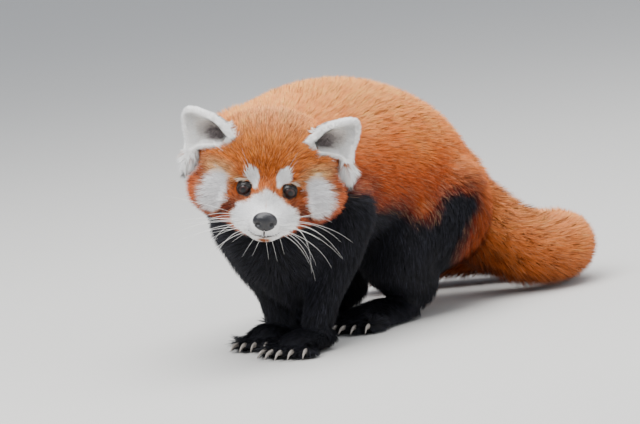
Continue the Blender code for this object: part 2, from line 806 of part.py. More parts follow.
def part_whole(whole, parts):
    """Cuts the whole animal into its nodes and keeps the one surface that holds each node's point."""
    plates = cutters(whole.data)
    boolean(whole, "DIFFERENCE", [*plates, *haunch_forms()])
    labels = {**PARTS, **head_labels(), **tail_labels()}
    nodes = {}
    for mesh in loose_pieces(whole.data):
        found = bmesh.new()
        found.from_mesh(mesh)
        tree = BVHTree.FromBMesh(found)
        names = [name for name, point in labels.items() if inside(tree, Vector(point) * MM)]
        found.free()
        if len(names) > 1:
            raise RuntimeError(f"not parted: {names}")
        if names:
            nodes[names[0]] = new_object(names[0], mesh, parts)
    missing = set(labels) - set(nodes)
    if missing:
        raise RuntimeError(f"no surface for {sorted(missing)}")
    bpy.data.objects.remove(whole)
    return nodes


def finish_nodes(nodes):
    """Paints each node and moves the animal over its origin."""
    looks = {
        "eye": ("eye", 0.1), "nose": ("nose", 0.4), "ear": ("white", 0.9),
        "fore": ("black", 0.9), "hind": ("black", 0.9),
    }
    for name, obj in nodes.items():
        colour, roughness = next((v for k, v in looks.items() if name.startswith(k)), ("russet", 0.9))
        obj.data.materials.clear()
        obj.data.materials.append(paint(name, colour, roughness))
    corners = np.array([v.co for obj in nodes.values() for v in obj.data.vertices])
    low, high = corners.min(axis=0), corners.max(axis=0)
    shift = Matrix.Translation((-(low[0] + high[0]) / 2, -(low[1] + high[1]) / 2, -low[2]))
    for obj in nodes.values():
        obj.data.transform(shift)


def main():
    clear_scene()
    place = head_matrix()
    work = new_collection("work")
    parts = new_collection("red panda")
    whole = body_skin(work)
    head = head_skin(place, work)
    boolean(whole, "UNION", [*claw_forms(), form_of(head)])
    tree = BVHTree.FromObject(whole, bpy.context.evaluated_depsgraph_get())
    boolean(whole, "UNION", coat_forms(tree, place))
    boolean(whole, "DIFFERENCE", hollow_forms(whole, place))
    nodes = part_whole(whole, parts)
    for name, side in (("left", 1), ("right", -1)):
        eye = ball(mirrored(EYE_CENTRE, side), (EYE_RADIUS,) * 3, place, segments=EYE_SEGMENTS)
        nodes[f"eye_{name}"] = new_object(f"eye_{name}", joined([eye]), parts)
    nose = new_object("nose", joined(nose_forms(place)), parts)
    nostrils = [ball(mirrored(NOSTRIL_CENTRE, side), (NOSTRIL_RADIUS,) * 3, place, segments=8) for side in (1, -1)]
    nodes["nose"] = boolean(nose, "DIFFERENCE", nostrils)
    finish_nodes(nodes)


main()
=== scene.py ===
"""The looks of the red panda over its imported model: skin, coat, eyes, nose, claws and whiskers.

Metres, +Z up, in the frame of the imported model. Tables are in millimetres of the frame that the animal
was drawn in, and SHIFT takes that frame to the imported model's.
"""

import math

import bmesh
import bpy
import numpy as np
from mathutils import Euler, Matrix, Vector
from mathutils.bvhtree import BVHTree


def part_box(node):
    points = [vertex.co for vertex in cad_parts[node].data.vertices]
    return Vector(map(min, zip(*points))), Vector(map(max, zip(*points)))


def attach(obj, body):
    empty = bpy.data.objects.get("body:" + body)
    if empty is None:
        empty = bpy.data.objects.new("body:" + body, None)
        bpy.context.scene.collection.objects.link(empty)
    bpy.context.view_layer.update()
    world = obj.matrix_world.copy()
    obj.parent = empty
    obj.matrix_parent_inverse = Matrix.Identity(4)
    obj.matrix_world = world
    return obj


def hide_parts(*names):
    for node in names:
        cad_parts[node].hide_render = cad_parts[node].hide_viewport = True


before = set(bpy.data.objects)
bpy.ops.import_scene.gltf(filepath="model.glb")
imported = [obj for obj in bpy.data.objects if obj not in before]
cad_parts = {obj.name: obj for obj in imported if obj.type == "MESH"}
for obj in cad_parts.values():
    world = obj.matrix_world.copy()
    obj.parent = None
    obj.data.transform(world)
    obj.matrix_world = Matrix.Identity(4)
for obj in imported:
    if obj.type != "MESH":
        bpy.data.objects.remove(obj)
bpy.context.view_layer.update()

MM = 0.001
RNG = np.random.default_rng(17)
PAIR = (1, -1)  # the animal's left and right

# The head's own frame: its origin is midway between the eyes, +X to the animal's left, +Y back, +Z up.
HEAD_PLACE = (-43, -45, 151)
HEAD_NOD = math.radians(11.5)
HEAD_TILT = math.radians(10.6)
EYE_CENTRE, EYE_RADIUS, EYE_GAP = (18.8, 5.5, 0), 7.5, 0.1

# Head forms: centre, radii and the depth of the coat on them. Those off the middle are mirrored.
HEAD_FORMS = {
    "cranium": ((0, 50, 7), (60, 52, 50), 4.5),
    "occiput": ((0, 62, -2), (52, 38, 44), 5),
    "cheek": ((34, 38, -9), (33, 34, 33), 7.5),
    "brow": ((19, 10, 11), (13, 11, 8), 2),
    "bridge": ((0, 4, -5), (15, 22, 14), 1.5),
    "lip_pad": ((9, -15, -25), (12.5, 13, 10.5), 1.5),
    "chin": ((0, -8, -34), (16, 17, 9), 2),
    "under_eye": ((24, 9, -13), (15, 13, 11), 2),
}
MUZZLE = [
    ((0, 26, -16), 40, 30),
    ((0, 8, -19), 30, 24),
    ((0, -5, -21), 24.5, 19.5),
    ((0, -15, -22), 20.5, 16),
    ((0, -21, -22), 16, 12.5),
]
NOSE_CENTRE, NOSE_RADII = (0, -29, -18), (10.5, 6.5, 8.5)
EAR_CENTRE = (54, 37, 36)
EAR_OUT, EAR_BACK = 0.8, 0.6  # how far the length of the ear points outward and back
EAR_OUTLINE = [
    (-29, 4), (-12, 15), (8, 18.5), (23, 18.5), (28.5, 11),
    (25, -6), (17, -20), (8, -15), (-9, -10), (-22, -7),
]
EAR_MIDDLE = (2, 2)
# The ear's back and the hollow of its cup, as rows of the outline's share and the depth in mm.
EAR_PROFILE = ((0.45, -14), (0.72, -11), (0.9, -7.5), (0.98, -3.5), (0.97, 0), (0.9, 2.4), (0.8, 2.6))
CUP_PROFILE = ((0.15, -10.5), (0.35, -9.5), (0.52, -6.5), (0.66, -2.5), (0.75, 1), (0.9, 8), (0.9, 20))
# The hanging hair below the ear.
EAR_FRINGE = [((66, 47, 22), 7, 6), ((68, 47, 8), 6, 5), ((70, 47, 1), 3, 3)]

TORSO = [
    ((-40, 46, 112), 50, 50),
    ((-38, 66, 146), 70, 66),
    ((-16, 118, 144), 82, 80),
    ((24, 178, 142), 84, 82),
    ((68, 230, 120), 78, 78),
    ((100, 266, 100), 60, 58),
]
NECK = [
    ((-41, 20, 158), 50, 50),
    ((-39, 52, 152), 60, 62),
    ((-32, 90, 144), 68, 70),
]
BREAST = ((-36, 44, 96), (46, 38, 42))
SHOULDER = ((-62, 96, 164), (42, 44, 50))
# Forms under the coat that fill the creases at the root of the tail and between the forelegs.
FILLERS = [((120, 256, 90), (32, 33, 36)), ((-30, 58, 80), (30, 26, 32)), ((-28, 64, 62), (18, 16, 24))]
FORELEGS = {
    "left": [(14, 60, 112), (8, 52, 82), (-4, 39, 50), (-13, 26, 24)],
    "right": [(-60, 74, 112), (-57, 84, 82), (-48, 92, 50), (-45, 88, 24)],
}
FORELEG_RADII = [36, 29, 21, 18]
HINDLEGS = {
    "left": [(98, 205, 92), (66, 156, 64), (78, 172, 34), (66, 158, 20)],
    "right": [(38, 255, 92), (-6, 208, 64), (16, 228, 34), (4, 214, 20)],
}
HINDLEG_RADII = [58, 42, 27, 20]
PAWS = {
    "forepaw_left": ((-13, 28, 12), (-32, 4, 10), 22, 14),
    "forepaw_right": ((-45, 94, 12), (-58, 70, 10), 21, 14),
    "hindpaw_left": ((66, 158, 13), (26, 112, 10), 22, 14),
    "hindpaw_right": ((4, 214, 13), (-31, 167, 10), 22, 14),
}
TOE_RADIUS, TOE_LENGTH, TOE_SPREAD, TOE_HEIGHT = 7.6, 11, math.radians(36), 7
TOE_REACH, TOE_ARC = 9, 6  # how far the middle toe stands before the paw, and the outer ones behind it
TOE_DEPTH, TOE_TAPER = 1.6, 0.85
HEEL_WIDTH, PAW_END_HEIGHT = 0.8, 0.9
CLAW_RADIUS, CLAW_LENGTH, CLAW_DROP = 2.6, 12, 4.2
TAIL = [
    ((100, 258, 106), 46, 46),
    ((128, 266, 82), 43, 43),
    ((156, 262, 57), 41, 42),
    ((184, 254, 42), 39, 42),
    ((208, 263, 37), 37, 38),
    ((220, 290, 34.5), 35, 35),
    ((216, 318, 34.5), 35, 35),
    ((193, 341, 34.5), 35, 35),
    ((156, 354, 35), 36, 36),
    ((114, 362, 35), 36, 36),
    ((74, 362, 34), 35, 35),
    ((44, 354, 31), 29, 31),
]

# How deep the skin lies under the outline of the coat, in mm, and how that grows along the tail's root.
TRUNK_DEPTH, TAIL_DEPTH, LIMB_DEPTH, PAW_DEPTH = 10, 15, 5, 2.5
TAIL_ROOT_STATIONS, TAIL_ROOT_STEP = 3, 2

# The grain that the forms are fused in, and how often they are smoothed after it.
BODY_VOXEL, BODY_SMOOTHING = 4 * MM, 20
HEAD_VOXEL, HEAD_SMOOTHING = 2.4 * MM, 8
FINE_VOXEL, SEAM_SMOOTHING = 2.0 * MM, 3
SKIN_TRIANGLES = 70000
SOLE_HEIGHT, SLAB_WIDTH, SLAB_DEPTH = 0.0015, 2, 0.2  # the slab that levels the soles just over the floor

# The tufts of the whole coat, and the most in one piece of it.
TUFTS = 340000
PIECE_TUFTS = 49000
TUFT_FLOOR = 0.0006  # no tuft reaches lower
BARE_FLOOR = 0.0022  # no tuft is rooted lower
LOCK_SIZE = 0.0055  # tufts within this distance lean together
DARK_FLECKS, BLOND_FLECKS = 0.26, 0.16  # shares of the ruddy tufts; the dark ones are on the head alone

# Markings of the face, right half, as outlines (x, z) in the head's frame.
BROW_SPOT = [(8, 5), (7.5, 13), (10, 19), (16, 20.5), (21, 18), (20.5, 12), (15, 6.5), (11, 3)]
EYE_PALE = [(17, 5), (20, 10), (27, 11), (29, 5), (26, 4)]
CHEEK_PATCH = [
    (33, 8), (38, 10), (45, 9), (53, 4), (58, -6), (58, -18),
    (52, -27), (45, -28), (38, -24), (35.5, -14), (32.5, -2),
]
TEAR = [
    (30.5, 2), (34, -4), (36, -14), (41, -30), (35, -27),
    (30, -19), (25, -11), (17.5, -7), (20, -4.5), (26, -5),
]
MUZZLE_PATCH = [
    (0, 4.5), (6, 2), (11, -2), (17, -7.5), (25, -12), (29, -20),
    (27, -32), (18, -39), (8, -42), (0, -42), (-1, 0),
]

WHITE = "F2F0EE"


def linear(code):
    """An sRGB hex colour as linear red, green and blue."""
    values = np.array([int(code[i : i + 2], 16) / 255 for i in (0, 2, 4)])
    return np.where(values <= 0.04045, values / 12.92, ((values + 0.055) / 1.055) ** 2.4)


# Forms


def head_matrix():
    """The head's frame, nodded and tilted, in the frame that the animal was drawn in."""
    turn = Euler((HEAD_NOD, 0, 0)).to_matrix()
    tilt = Matrix.Rotation(HEAD_TILT, 3, "Y")
    return Matrix.Translation(Vector(HEAD_PLACE) * MM) @ (tilt @ turn).to_4x4()


def find_shift():
    """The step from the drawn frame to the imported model's, found from the left eye's place in both."""
    low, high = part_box("eye_left")
    return (Vector(low) + Vector(high)) / 2 - head_matrix() @ (Vector(EYE_CENTRE) * MM)


SHIFT = find_shift()
BODY = Matrix.Translation(SHIFT)
HEAD = BODY @ head_matrix()


def sides(centre):
    """Both sides for a form off the middle, and one for a form on it."""
    return PAIR if centre[0] else (1,)


def mirrored(centre, side):
    return (side * centre[0], *centre[1:])


def ball(centre, radii, place):
    """An egg with a radius along each axis, in mm of the frame of its place."""
    form = bmesh.new()
    bmesh.ops.create_uvsphere(form, u_segments=32, v_segments=16, radius=1)
    size = Matrix.Diagonal((*(r * MM for r in radii), 1))
    form.transform(place @ Matrix.Translation(Vector(centre) * MM) @ size)
    return form


def smooth_stations(stations, per_span=6):
    """Points of a Catmull-Rom curve through the stations, each a row of numbers."""
    rows = np.array(stations, float)
    rows = np.vstack([2 * rows[0] - rows[1], rows, 2 * rows[-1] - rows[-2]])
    found = []
    for i in range(1, len(rows) - 2):
        a, b, c, d = rows[i - 1 : i + 3]
        for t in np.arange(per_span) / per_span:
            cubic = (3 * b - a - 3 * c + d) * t**3
            found.append(0.5 * (2 * b + (c - a) * t + (2 * a - 5 * b + 4 * c - d) * t**2 + cubic))
    return np.array([*found, rows[-2]])


def frames(line, reference=(0, 0, 1)):
    """Tangent, side and upper directions along a line, with no twist."""
    tangents = np.gradient(line, axis=0)
    tangents /= np.linalg.norm(tangents, axis=1)[:, None]
    side = np.cross(tangents[0], np.array(reference, float))
    found = []
    for tangent in tangents:
        side = side - tangent * (side @ tangent)
        side /= np.linalg.norm(side)
        found.append(side)
    found = np.array(found)
    return tangents, found, np.cross(found, tangents)


def tube(stations, place, reference=(0, 0, 1), around=28, per_span=6, caps=(18, 40, 68)):
    """A closed tube through stations of (centre, half width, half height), with rounded ends."""
    rows = smooth_stations([(*centre, *half) for centre, *half in stations], per_span)
    line, half = rows[:, :3], rows[:, 3:]
    tangents, side, up = frames(line, reference)
    rings = []
    for cap in np.radians(caps[::-1]):
        centre = line[0] - tangents[0] * half[0].min() * math.sin(cap)
        rings.append((centre, half[0] * math.cos(cap), 0))
    rings += [(line[i], half[i], i) for i in range(len(line))]
    for cap in np.radians(caps):
        centre = line[-1] + tangents[-1] * half[-1].min() * math.sin(cap)
        rings.append((centre, half[-1] * math.cos(cap), -1))
    form = bmesh.new()
    loops = []
    for centre, (width, height), i in rings:
        turns = [2 * math.pi * k / around for k in range(around)]
        points = [centre + side[i] * width * math.cos(a) + up[i] * height * math.sin(a) for a in turns]
        loops.append([form.verts.new(Vector(p) * MM) for p in points])
    for low, high in zip(loops, loops[1:]):
        for k in range(around):
            form.faces.new((low[k], high[k], high[k - 1], low[k - 1]))
    form.faces.new(loops[0])
    form.faces.new(loops[-1])
    bmesh.ops.recalc_face_normals(form, faces=form.faces)
    form.transform(place)
    return form


def joined(forms):
    """One mesh of all the forms, which are used up."""
    whole = bmesh.new()
    for form in forms:
        mesh = bpy.data.meshes.new("form")
        form.to_mesh(mesh)
        form.free()
        whole.from_mesh(mesh)
        bpy.data.meshes.remove(mesh)
    mesh = bpy.data.meshes.new("forms")
    whole.to_mesh(mesh)
    whole.free()
    return mesh


def form_of(obj):
    """The mesh of an object as a form, and the object removed."""
    form = bmesh.new()
    form.from_mesh(obj.data)
    bpy.data.objects.remove(obj)
    return form


def new_object(name, mesh):
    obj = bpy.data.objects.new(name, mesh)
    bpy.context.scene.collection.objects.link(obj)
    return obj


def applied(obj):
    """The object with its modifiers made part of its mesh."""
    graph = bpy.context.evaluated_depsgraph_get()
    mesh = bpy.data.meshes.new_from_object(obj.evaluated_get(graph))
    obj.modifiers.clear()
    obj.data = mesh
    return obj


def fused(name, mesh, voxel, smoothing):
    """One closed surface round everything in the mesh."""
    obj = new_object(name, mesh)
    remesh = obj.modifiers.new("one skin", "REMESH")
    remesh.mode = "VOXEL"
    remesh.voxel_size = voxel
    smooth = obj.modifiers.new("soften", "SMOOTH")
    smooth.factor = 0.5
    smooth.iterations = smoothing
    return applied(obj)


def cut(obj, forms):
    """Takes all the forms away from the object in one step."""
    used = bpy.data.collections.new("cutters")
    bpy.context.scene.collection.children.link(used)
    made = []
    for form in forms:
        made.append(bpy.data.objects.new("cutter", joined([form])))
        used.objects.link(made[-1])
    step = obj.modifiers.new("cut", "BOOLEAN")
    step.operation = "DIFFERENCE"
    step.solver = "MANIFOLD"
    step.operand_type = "COLLECTION"
    step.collection = used
    applied(obj)
    for each in made:
        bpy.data.objects.remove(each)
    bpy.data.collections.remove(used)


def drawn_in(stations, inset):
    """Stations of a tube, made thinner all round."""
    return [(centre, width - inset, height - inset) for centre, width, height in stations]


# The skin


def toe_places(heel, toes, half_width):
    """The root and the direction of each of a paw's five toes, spread in an arc."""
    back, front = Vector(heel), Vector(toes)
    along = front - back
    along.z = 0
    along.normalize()
    across = Vector((along.y, -along.x, 0))
    for k in range(5):
        share = (k - 2) / 2
        turn = Matrix.Rotation(-share * TOE_SPREAD / 2, 3, "Z")
        reach = (half_width - TOE_RADIUS * 0.6) * share
        root = front + across * reach + along * (TOE_REACH - TOE_ARC * share * share)
        yield Vector((root.x, root.y, TOE_HEIGHT)), turn @ along


def body_forms():
    forms = [tube(drawn_in(stations, TRUNK_DEPTH), BODY) for stations in (TORSO, NECK)]
    for centre, radii in (BREAST, SHOULDER):
        forms.append(ball(centre, [r - TRUNK_DEPTH + 1 for r in radii], BODY))
    for joints, radii in ((FORELEGS, FORELEG_RADII), (HINDLEGS, HINDLEG_RADII)):
        for line in joints.values():
            stations = [(p, r - LIMB_DEPTH, r - LIMB_DEPTH) for p, r in zip(line, radii)]
            forms.append(tube(stations, BODY, reference=(1, 0, 0)))
    for centre, radii in FILLERS:
        forms.append(ball(centre, radii, BODY))
    tail = []
    for place, (centre, width, height) in enumerate(TAIL):
        depth = TAIL_DEPTH - max(0, TAIL_ROOT_STATIONS - place) * TAIL_ROOT_STEP
        tail.append((centre, width - depth, height - depth))
    forms.append(tube(tail, BODY))
    return forms


def paw_forms():
    forms = []
    for heel, toes, half_width, half_height in PAWS.values():
        wide, high = half_width - PAW_DEPTH, half_height - PAW_DEPTH
        forms.append(tube([(heel, wide * HEEL_WIDTH, high), (toes, wide, high * PAW_END_HEIGHT)], BODY))
        for root, along in toe_places(heel, toes, half_width):
            tip = root + along * TOE_LENGTH
            size = TOE_RADIUS - TOE_DEPTH
            forms.append(tube([(root, size, size), (tip, size * TOE_TAPER, size * TOE_TAPER)], BODY))
    return forms


def head_forms():
    forms = [tube(MUZZLE, HEAD)]
    for centre, radii, depth in HEAD_FORMS.values():
        for side in sides(centre):
            forms.append(ball(mirrored(centre, side), [r - depth for r in radii], HEAD))
    return forms


def ear_place(side):
    """The ear's own frame: X outward along the ear, Y up it, Z out of the cup, to the front and side."""
    axes = Matrix(((EAR_OUT, 0, EAR_BACK), (EAR_BACK, 0, -EAR_OUT), (0, 1, 0))).to_4x4()
    axes.translation = Vector(EAR_CENTRE) * MM
    return HEAD @ Matrix.Diagonal((side, 1, 1, 1)) @ axes


def ear_ring(share, depth, place, form, around=40):
    """A ring of vertices on the ear's outline, drawn in to a share of it, at a depth."""
    outline = smooth_stations([*EAR_OUTLINE, EAR_OUTLINE[0]], 8)[:-1]
    steps = np.linspace(0, len(outline), around, endpoint=False).astype(int)
    rows = np.array(EAR_MIDDLE) + (outline[steps] - np.array(EAR_MIDDLE)) * share
    return [form.verts.new(place @ (Vector((*row, depth)) * MM)) for row in rows]


def lofted(rings, form):
    """The form with faces between its rings, and both ends closed."""
    for low, high in zip(rings, rings[1:]):
        for k in range(len(low)):
            form.faces.new((low[k - 1], low[k], high[k], high[k - 1]))
    form.faces.new(rings[0])
    form.faces.new(rings[-1])
    bmesh.ops.recalc_face_normals(form, faces=form.faces)
    return form


def ear_loft(side, profile):
    form, place = bmesh.new(), ear_place(side)
    return lofted([ear_ring(share, depth, place, form) for share, depth in profile], form)


def ear_forms():
    forms = []
    for side in PAIR:
        forms.append(ear_loft(side, EAR_PROFILE))
        fringe = [(mirrored(centre, side), wide, high) for centre, wide, high in EAR_FRINGE]
        forms.append(tube(fringe, HEAD))
    return forms


def unwrap(obj):
    bpy.context.view_layer.objects.active = obj
    obj.select_set(True)
    bpy.ops.object.mode_set(mode="EDIT")
    bpy.ops.mesh.select_all(action="SELECT")
    bpy.ops.uv.smart_project(angle_limit=math.radians(66), island_margin=0.002)
    bpy.ops.object.mode_set(mode="OBJECT")


def make_skin():
    """Body, head and ears as one skin, with ear cups and eye sockets cut in, and unwrapped."""
    trunk = fused("trunk", joined(body_forms()), BODY_VOXEL, BODY_SMOOTHING)
    skull = fused("skull", joined(head_forms()), HEAD_VOXEL, HEAD_SMOOTHING)
    whole = joined([form_of(trunk), form_of(skull), *paw_forms(), *ear_forms()])
    skin = fused("skin", whole, FINE_VOXEL, SEAM_SMOOTHING)
    skin.data.calc_loop_triangles()
    thin = skin.modifiers.new("fewer faces", "DECIMATE")
    thin.ratio = SKIN_TRIANGLES / len(skin.data.loop_triangles)
    applied(skin)
    sockets = [ball(mirrored(EYE_CENTRE, side), (EYE_RADIUS + EYE_GAP,) * 3, HEAD) for side in PAIR]
    cut(skin, [*(ear_loft(side, CUP_PROFILE) for side in PAIR), *sockets])
    slab = bmesh.new()
    bmesh.ops.create_cube(slab, size=1)
    size = Matrix.Diagonal((SLAB_WIDTH, SLAB_WIDTH, SLAB_DEPTH, 1))
    slab.transform(Matrix.Translation((0, 0, SOLE_HEIGHT - SLAB_DEPTH / 2)) @ size)
    cut(skin, [slab])
    skin.data.shade_smooth()
    unwrap(skin)
    return skin


# Fields over the skin: owner, lie, length, lift and colour

OWNERS = ["head", "ears", "neck", "trunk", "foreleg", "hindleg", "paw", "tail"]
HEAD_COAT, EAR_COAT, NECK_COAT, TRUNK_COAT, FORELEG_COAT, HINDLEG_COAT, PAW_COAT, TAIL_COAT = range(8)
COAT = {  # length, depth and width in mm, tufts for each square centimetre, jitter of the lie
    "head": (8.5, 3.9, 0.62, 170, 0.28),
    "ears": (4.5, 2.0, 0.6, 190, 0.22),
    "neck": (20, 11, 0.9, 85, 0.38),
    "trunk": (17.5, 10.8, 0.85, 96, 0.38),
    "foreleg": (12, 4.6, 0.85, 85, 0.22),
    "hindleg": (15, 5.2, 0.9, 75, 0.22),
    "paw": (6, 2.0, 0.75, 110, 0.2),
    "tail": (22, 13.7, 0.9, 96, 0.35),
}
SHARING = 7  # the power of nearness by which parts share the skin between them
POINTS_AT_ONCE = 4000  # keeps the table of distances small


def in_frame(matrix, points):
    """Points in the frame of a matrix, in mm."""
    inner = np.array(matrix.inverted())
    return (points @ inner[:3, :3].T + inner[:3, 3]) / MM


def turned(matrix, directions):
    """Directions of a matrix's own frame as directions of the scene."""
    return directions @ np.array(matrix.to_3x3()).T


def unit(rows):
    return rows / np.maximum(np.linalg.norm(rows, axis=1), 1e-9)[:, None]


def flow_sources():
    """Points that say which part owns the skin near them and which way its coat lies."""
    found = {key: [] for key in ("point", "lie", "radius", "owner")}

    def add(stations, owner, reference=(0, 0, 1), per_span=5):
        rows = smooth_stations([(*centre, *half) for centre, *half in stations], per_span)
        line = rows[:, :3]
        found["point"].append(line * MM + np.array(SHIFT))
        found["lie"].append(frames(line, reference)[0])
        found["radius"].append(rows[:, 3:].min(axis=1) * MM)
        found["owner"].append(np.full(len(rows), OWNERS.index(owner)))

    add(TORSO, "trunk")
    add(NECK, "neck")
    add(TAIL, "tail", per_span=6)
    legs = ((FORELEGS, FORELEG_RADII, "foreleg"), (HINDLEGS, HINDLEG_RADII, "hindleg"))
    for joints, radii, owner in legs:
        for line in joints.values():
            add([(p, r, r) for p, r in zip(line, radii)], owner, (1, 0, 0))
    for heel, toes, half_width, half_height in PAWS.values():
        reach = Vector(toes) + (Vector(toes) - Vector(heel)).normalized() * 18
        reach.z = TOE_HEIGHT
        add([(heel, half_width, half_height), (toes, half_width, 13), (reach, 18, 9)], "paw")
    balls = [((0, 50, 7), 50), ((0, 12, -14), 28), ((0, -12, -24), 20)]
    balls += [((side * 36, 38, -9), 30) for side in PAIR]
    for centre, radius in balls:
        found["point"].append(np.array([HEAD @ (Vector(centre) * MM)]))
        found["lie"].append(np.zeros((1, 3)))
        found["radius"].append(np.array([radius * MM]))
        found["owner"].append(np.array([HEAD_COAT]))
    return {key: np.concatenate(rows) for key, rows in found.items()}


def ear_frame(points):
    """Points in the frame of the nearer ear, in mm, with the ear's left-hand side mirrored."""
    local = in_frame(HEAD, points)
    side = np.sign(local[:, 0])
    rel = np.stack([np.abs(local[:, 0]), local[:, 1], local[:, 2]], axis=1) - np.array(EAR_CENTRE)
    along = EAR_OUT * rel[:, 0] + EAR_BACK * rel[:, 1]
    out = EAR_BACK * rel[:, 0] - EAR_OUT * rel[:, 1]
    return along, rel[:, 2], out, side


def inside(x, z, outline):
    """How far inside a closed outline each point is, in mm; below zero outside it."""
    corners = np.array(outline, float)
    within = np.zeros(len(x), bool)
    gap = np.full(len(x), 1e9)
    for (ax, az), (bx, bz) in zip(corners, np.roll(corners, -1, axis=0)):
        dx, dz = bx - ax, bz - az
        along = np.clip(((x - ax) * dx + (z - az) * dz) / (dx**2 + dz**2), 0, 1)
        gap = np.minimum(gap, np.hypot(x - ax - along * dx, z - az - along * dz))
        if az != bz:
            within ^= ((az > z) != (bz > z)) & (x < dx * (z - az) / dz + ax)
    return np.where(within, gap, -gap)


def patch(x, z, outline, soft):
    """1 inside an outline and 0 outside it, over a soft edge of this width in mm."""
    return np.clip(0.5 + inside(x, z, outline) / soft, 0, 1)


def head_lie(local):
    """On the head the coat lies away from the nose, and outward and down over the cheeks."""
    away = unit(local - np.array([0, -34, -14]))
    cheek = np.clip((np.abs(local[:, 0]) - 30) / 25, 0, 1) * np.clip((22 - local[:, 2]) / 20, 0, 1)
    sweep = np.sign(local[:, :1]) * (0.9, 0, 0) + (0, 0.35, -0.45)
    return unit(away + sweep * (1.6 * cheek)[:, None])


def ear_shares(points):
    """How much each point is part of an ear, and how much it is part of the fringe below the ear."""
    along, up, out, _ = ear_frame(points)
    local = in_frame(HEAD, points)
    x = np.abs(local[:, 0])
    outline = smooth_stations([*EAR_OUTLINE, EAR_OUTLINE[0]], 4)[:-1]
    ear = np.clip(inside(along, up, outline) / 1.5 + 1.2, 0, 1)
    ear = ear * np.clip((out - np.interp(along, (-16, -8), (-5, -17))) / 2, 0, 1)
    ear = ear * np.clip((9 - out) / 3, 0, 1)
    middle = np.interp(local[:, 2], (-8, 8, 24), (71, 68, 66))
    fringe = np.clip((11 - np.abs(x - middle)) / 2, 0, 1) * np.clip((18 - local[:, 2]) / 12, 0, 1)
    fringe = fringe * np.clip((local[:, 2] + 3) / 2, 0, 1) * np.clip((local[:, 1] - 34) / 6, 0, 1)
    fringe = fringe * np.clip((58 - local[:, 1]) / 3, 0, 1)
    return ear, fringe * (x > 58.5)


def coat_fields(points, normals):
    """For each point: owner, lie, and the tufts' length, depth and width (m), density (per m2) and jitter."""
    source = flow_sources()
    share = np.zeros((len(points), len(OWNERS)))
    lie = np.zeros((len(points), 3))
    for start in range(0, len(points), POINTS_AT_ONCE):
        part = slice(start, start + POINTS_AT_ONCE)
        gap = np.linalg.norm(points[part, None] - source["point"][None], axis=2) / source["radius"]
        weight = np.maximum(gap, 0.05) ** -SHARING
        weight /= weight.sum(axis=1)[:, None]
        lie[part] = weight @ source["lie"]
        for k in range(len(OWNERS)):
            share[part, k] = weight[:, source["owner"] == k].sum(axis=1)
    ear, fringe = ear_shares(points)
    wool = np.maximum(ear, fringe)
    share *= (1 - wool)[:, None]
    share[:, EAR_COAT] = wool
    local = in_frame(HEAD, points)
    lie += turned(HEAD, head_lie(local)) * share[:, [HEAD_COAT]]
    hanging = share[:, NECK_COAT] + share[:, TRUNK_COAT] + 0.5 * share[:, HINDLEG_COAT]
    lie += np.array([0, 0, -0.55]) * hanging[:, None]
    along, up, _, side = ear_frame(points)
    spread = np.stack([side * (along - 2) * EAR_OUT, (along - 2) * EAR_BACK + 4, up - 2], axis=1)
    lie = lie * (1 - ear)[:, None] + turned(HEAD, unit(spread)) * ear[:, None]
    hang = np.stack([side * 0.25, np.full(len(side), -0.1), np.full(len(side), -1.0)], axis=1)
    lie = lie * (1 - fringe)[:, None] + turned(HEAD, hang) * fringe[:, None]
    lie = unit(lie - normals * (lie * normals).sum(axis=1)[:, None])
    length, depth, width, density, jitter = (share @ np.array([COAT[owner] for owner in OWNERS])).T.copy()
    head, off = share[:, HEAD_COAT], np.abs(local[:, 0])
    muzzle = np.clip((4 - local[:, 1]) / 16, 0, 1) * head
    face = np.clip((28 - local[:, 1]) / 18, 0, 1) * head
    ruff = np.clip((off - 42) / 12, 0, 1) * np.clip((12 - local[:, 2]) / 14, 0, 1) * head
    eyes = np.clip(1.8 - np.hypot(off - EYE_CENTRE[0], local[:, 2]) / 8, 0, 1) * head * (local[:, 1] < 20)
    length += ruff * 12 - face * 3.9 - muzzle * 1.6 - eyes * 1.3
    depth += ruff * 4.5 - face * 2.2 - muzzle * 0.8 - eyes * 0.4
    width += ruff * 0.2 - face * 0.08 - muzzle * 0.06
    density += face * 60 + muzzle * 60 - ruff * 50
    length += fringe * 7
    depth += fringe * 1.5
    toes = share[:, PAW_COAT] * np.clip((12 - in_frame(BODY, points)[:, 2]) / 5, 0, 1)
    length -= toes * 2
    depth -= toes * 0.7
    return share.argmax(axis=1), lie, length * MM, depth * MM, width * MM, density * 1e4, jitter


def ramp(t, stops):
    """A colour along t from rows of (t, hex colour)."""
    places = [row[0] for row in stops]
    colours = np.array([linear(row[1]) for row in stops])
    return np.stack([np.interp(t, places, colours[:, i]) for i in range(3)], axis=1)


def over(colour, mask, code):
    """The colours with another laid over them, as far as the mask says."""
    top = linear(code) if isinstance(code, str) else code
    return colour * (1 - mask[:, None]) + top * mask[:, None]


def cloud(points, size, seed):
    """Smooth noise from -1 to 1, with features about this size in metres."""
    rng = np.random.default_rng(seed)
    total = np.zeros(len(points))
    for _ in range(7):
        wave = unit(rng.normal(size=(1, 3)))[0] * rng.uniform(0.7, 1.6) * 2 * math.pi / size
        total += np.sin(points @ wave + rng.uniform(0, 6.3))
    return total / 4


# The black of throat, chest, belly and thigh, as an outline (x, z) of the animal's left side.
BLACK = [
    (-200, 152), (10, 150), (27, 140), (36, 128), (46, 115), (61, 103), (72, 99),
    (84, 87), (98, 86), (108, 97), (120, 105), (131, 106), (141, 104),
    (142, 90), (133, 76), (121, 58), (116, 45), (112, -20), (-200, -20),
]


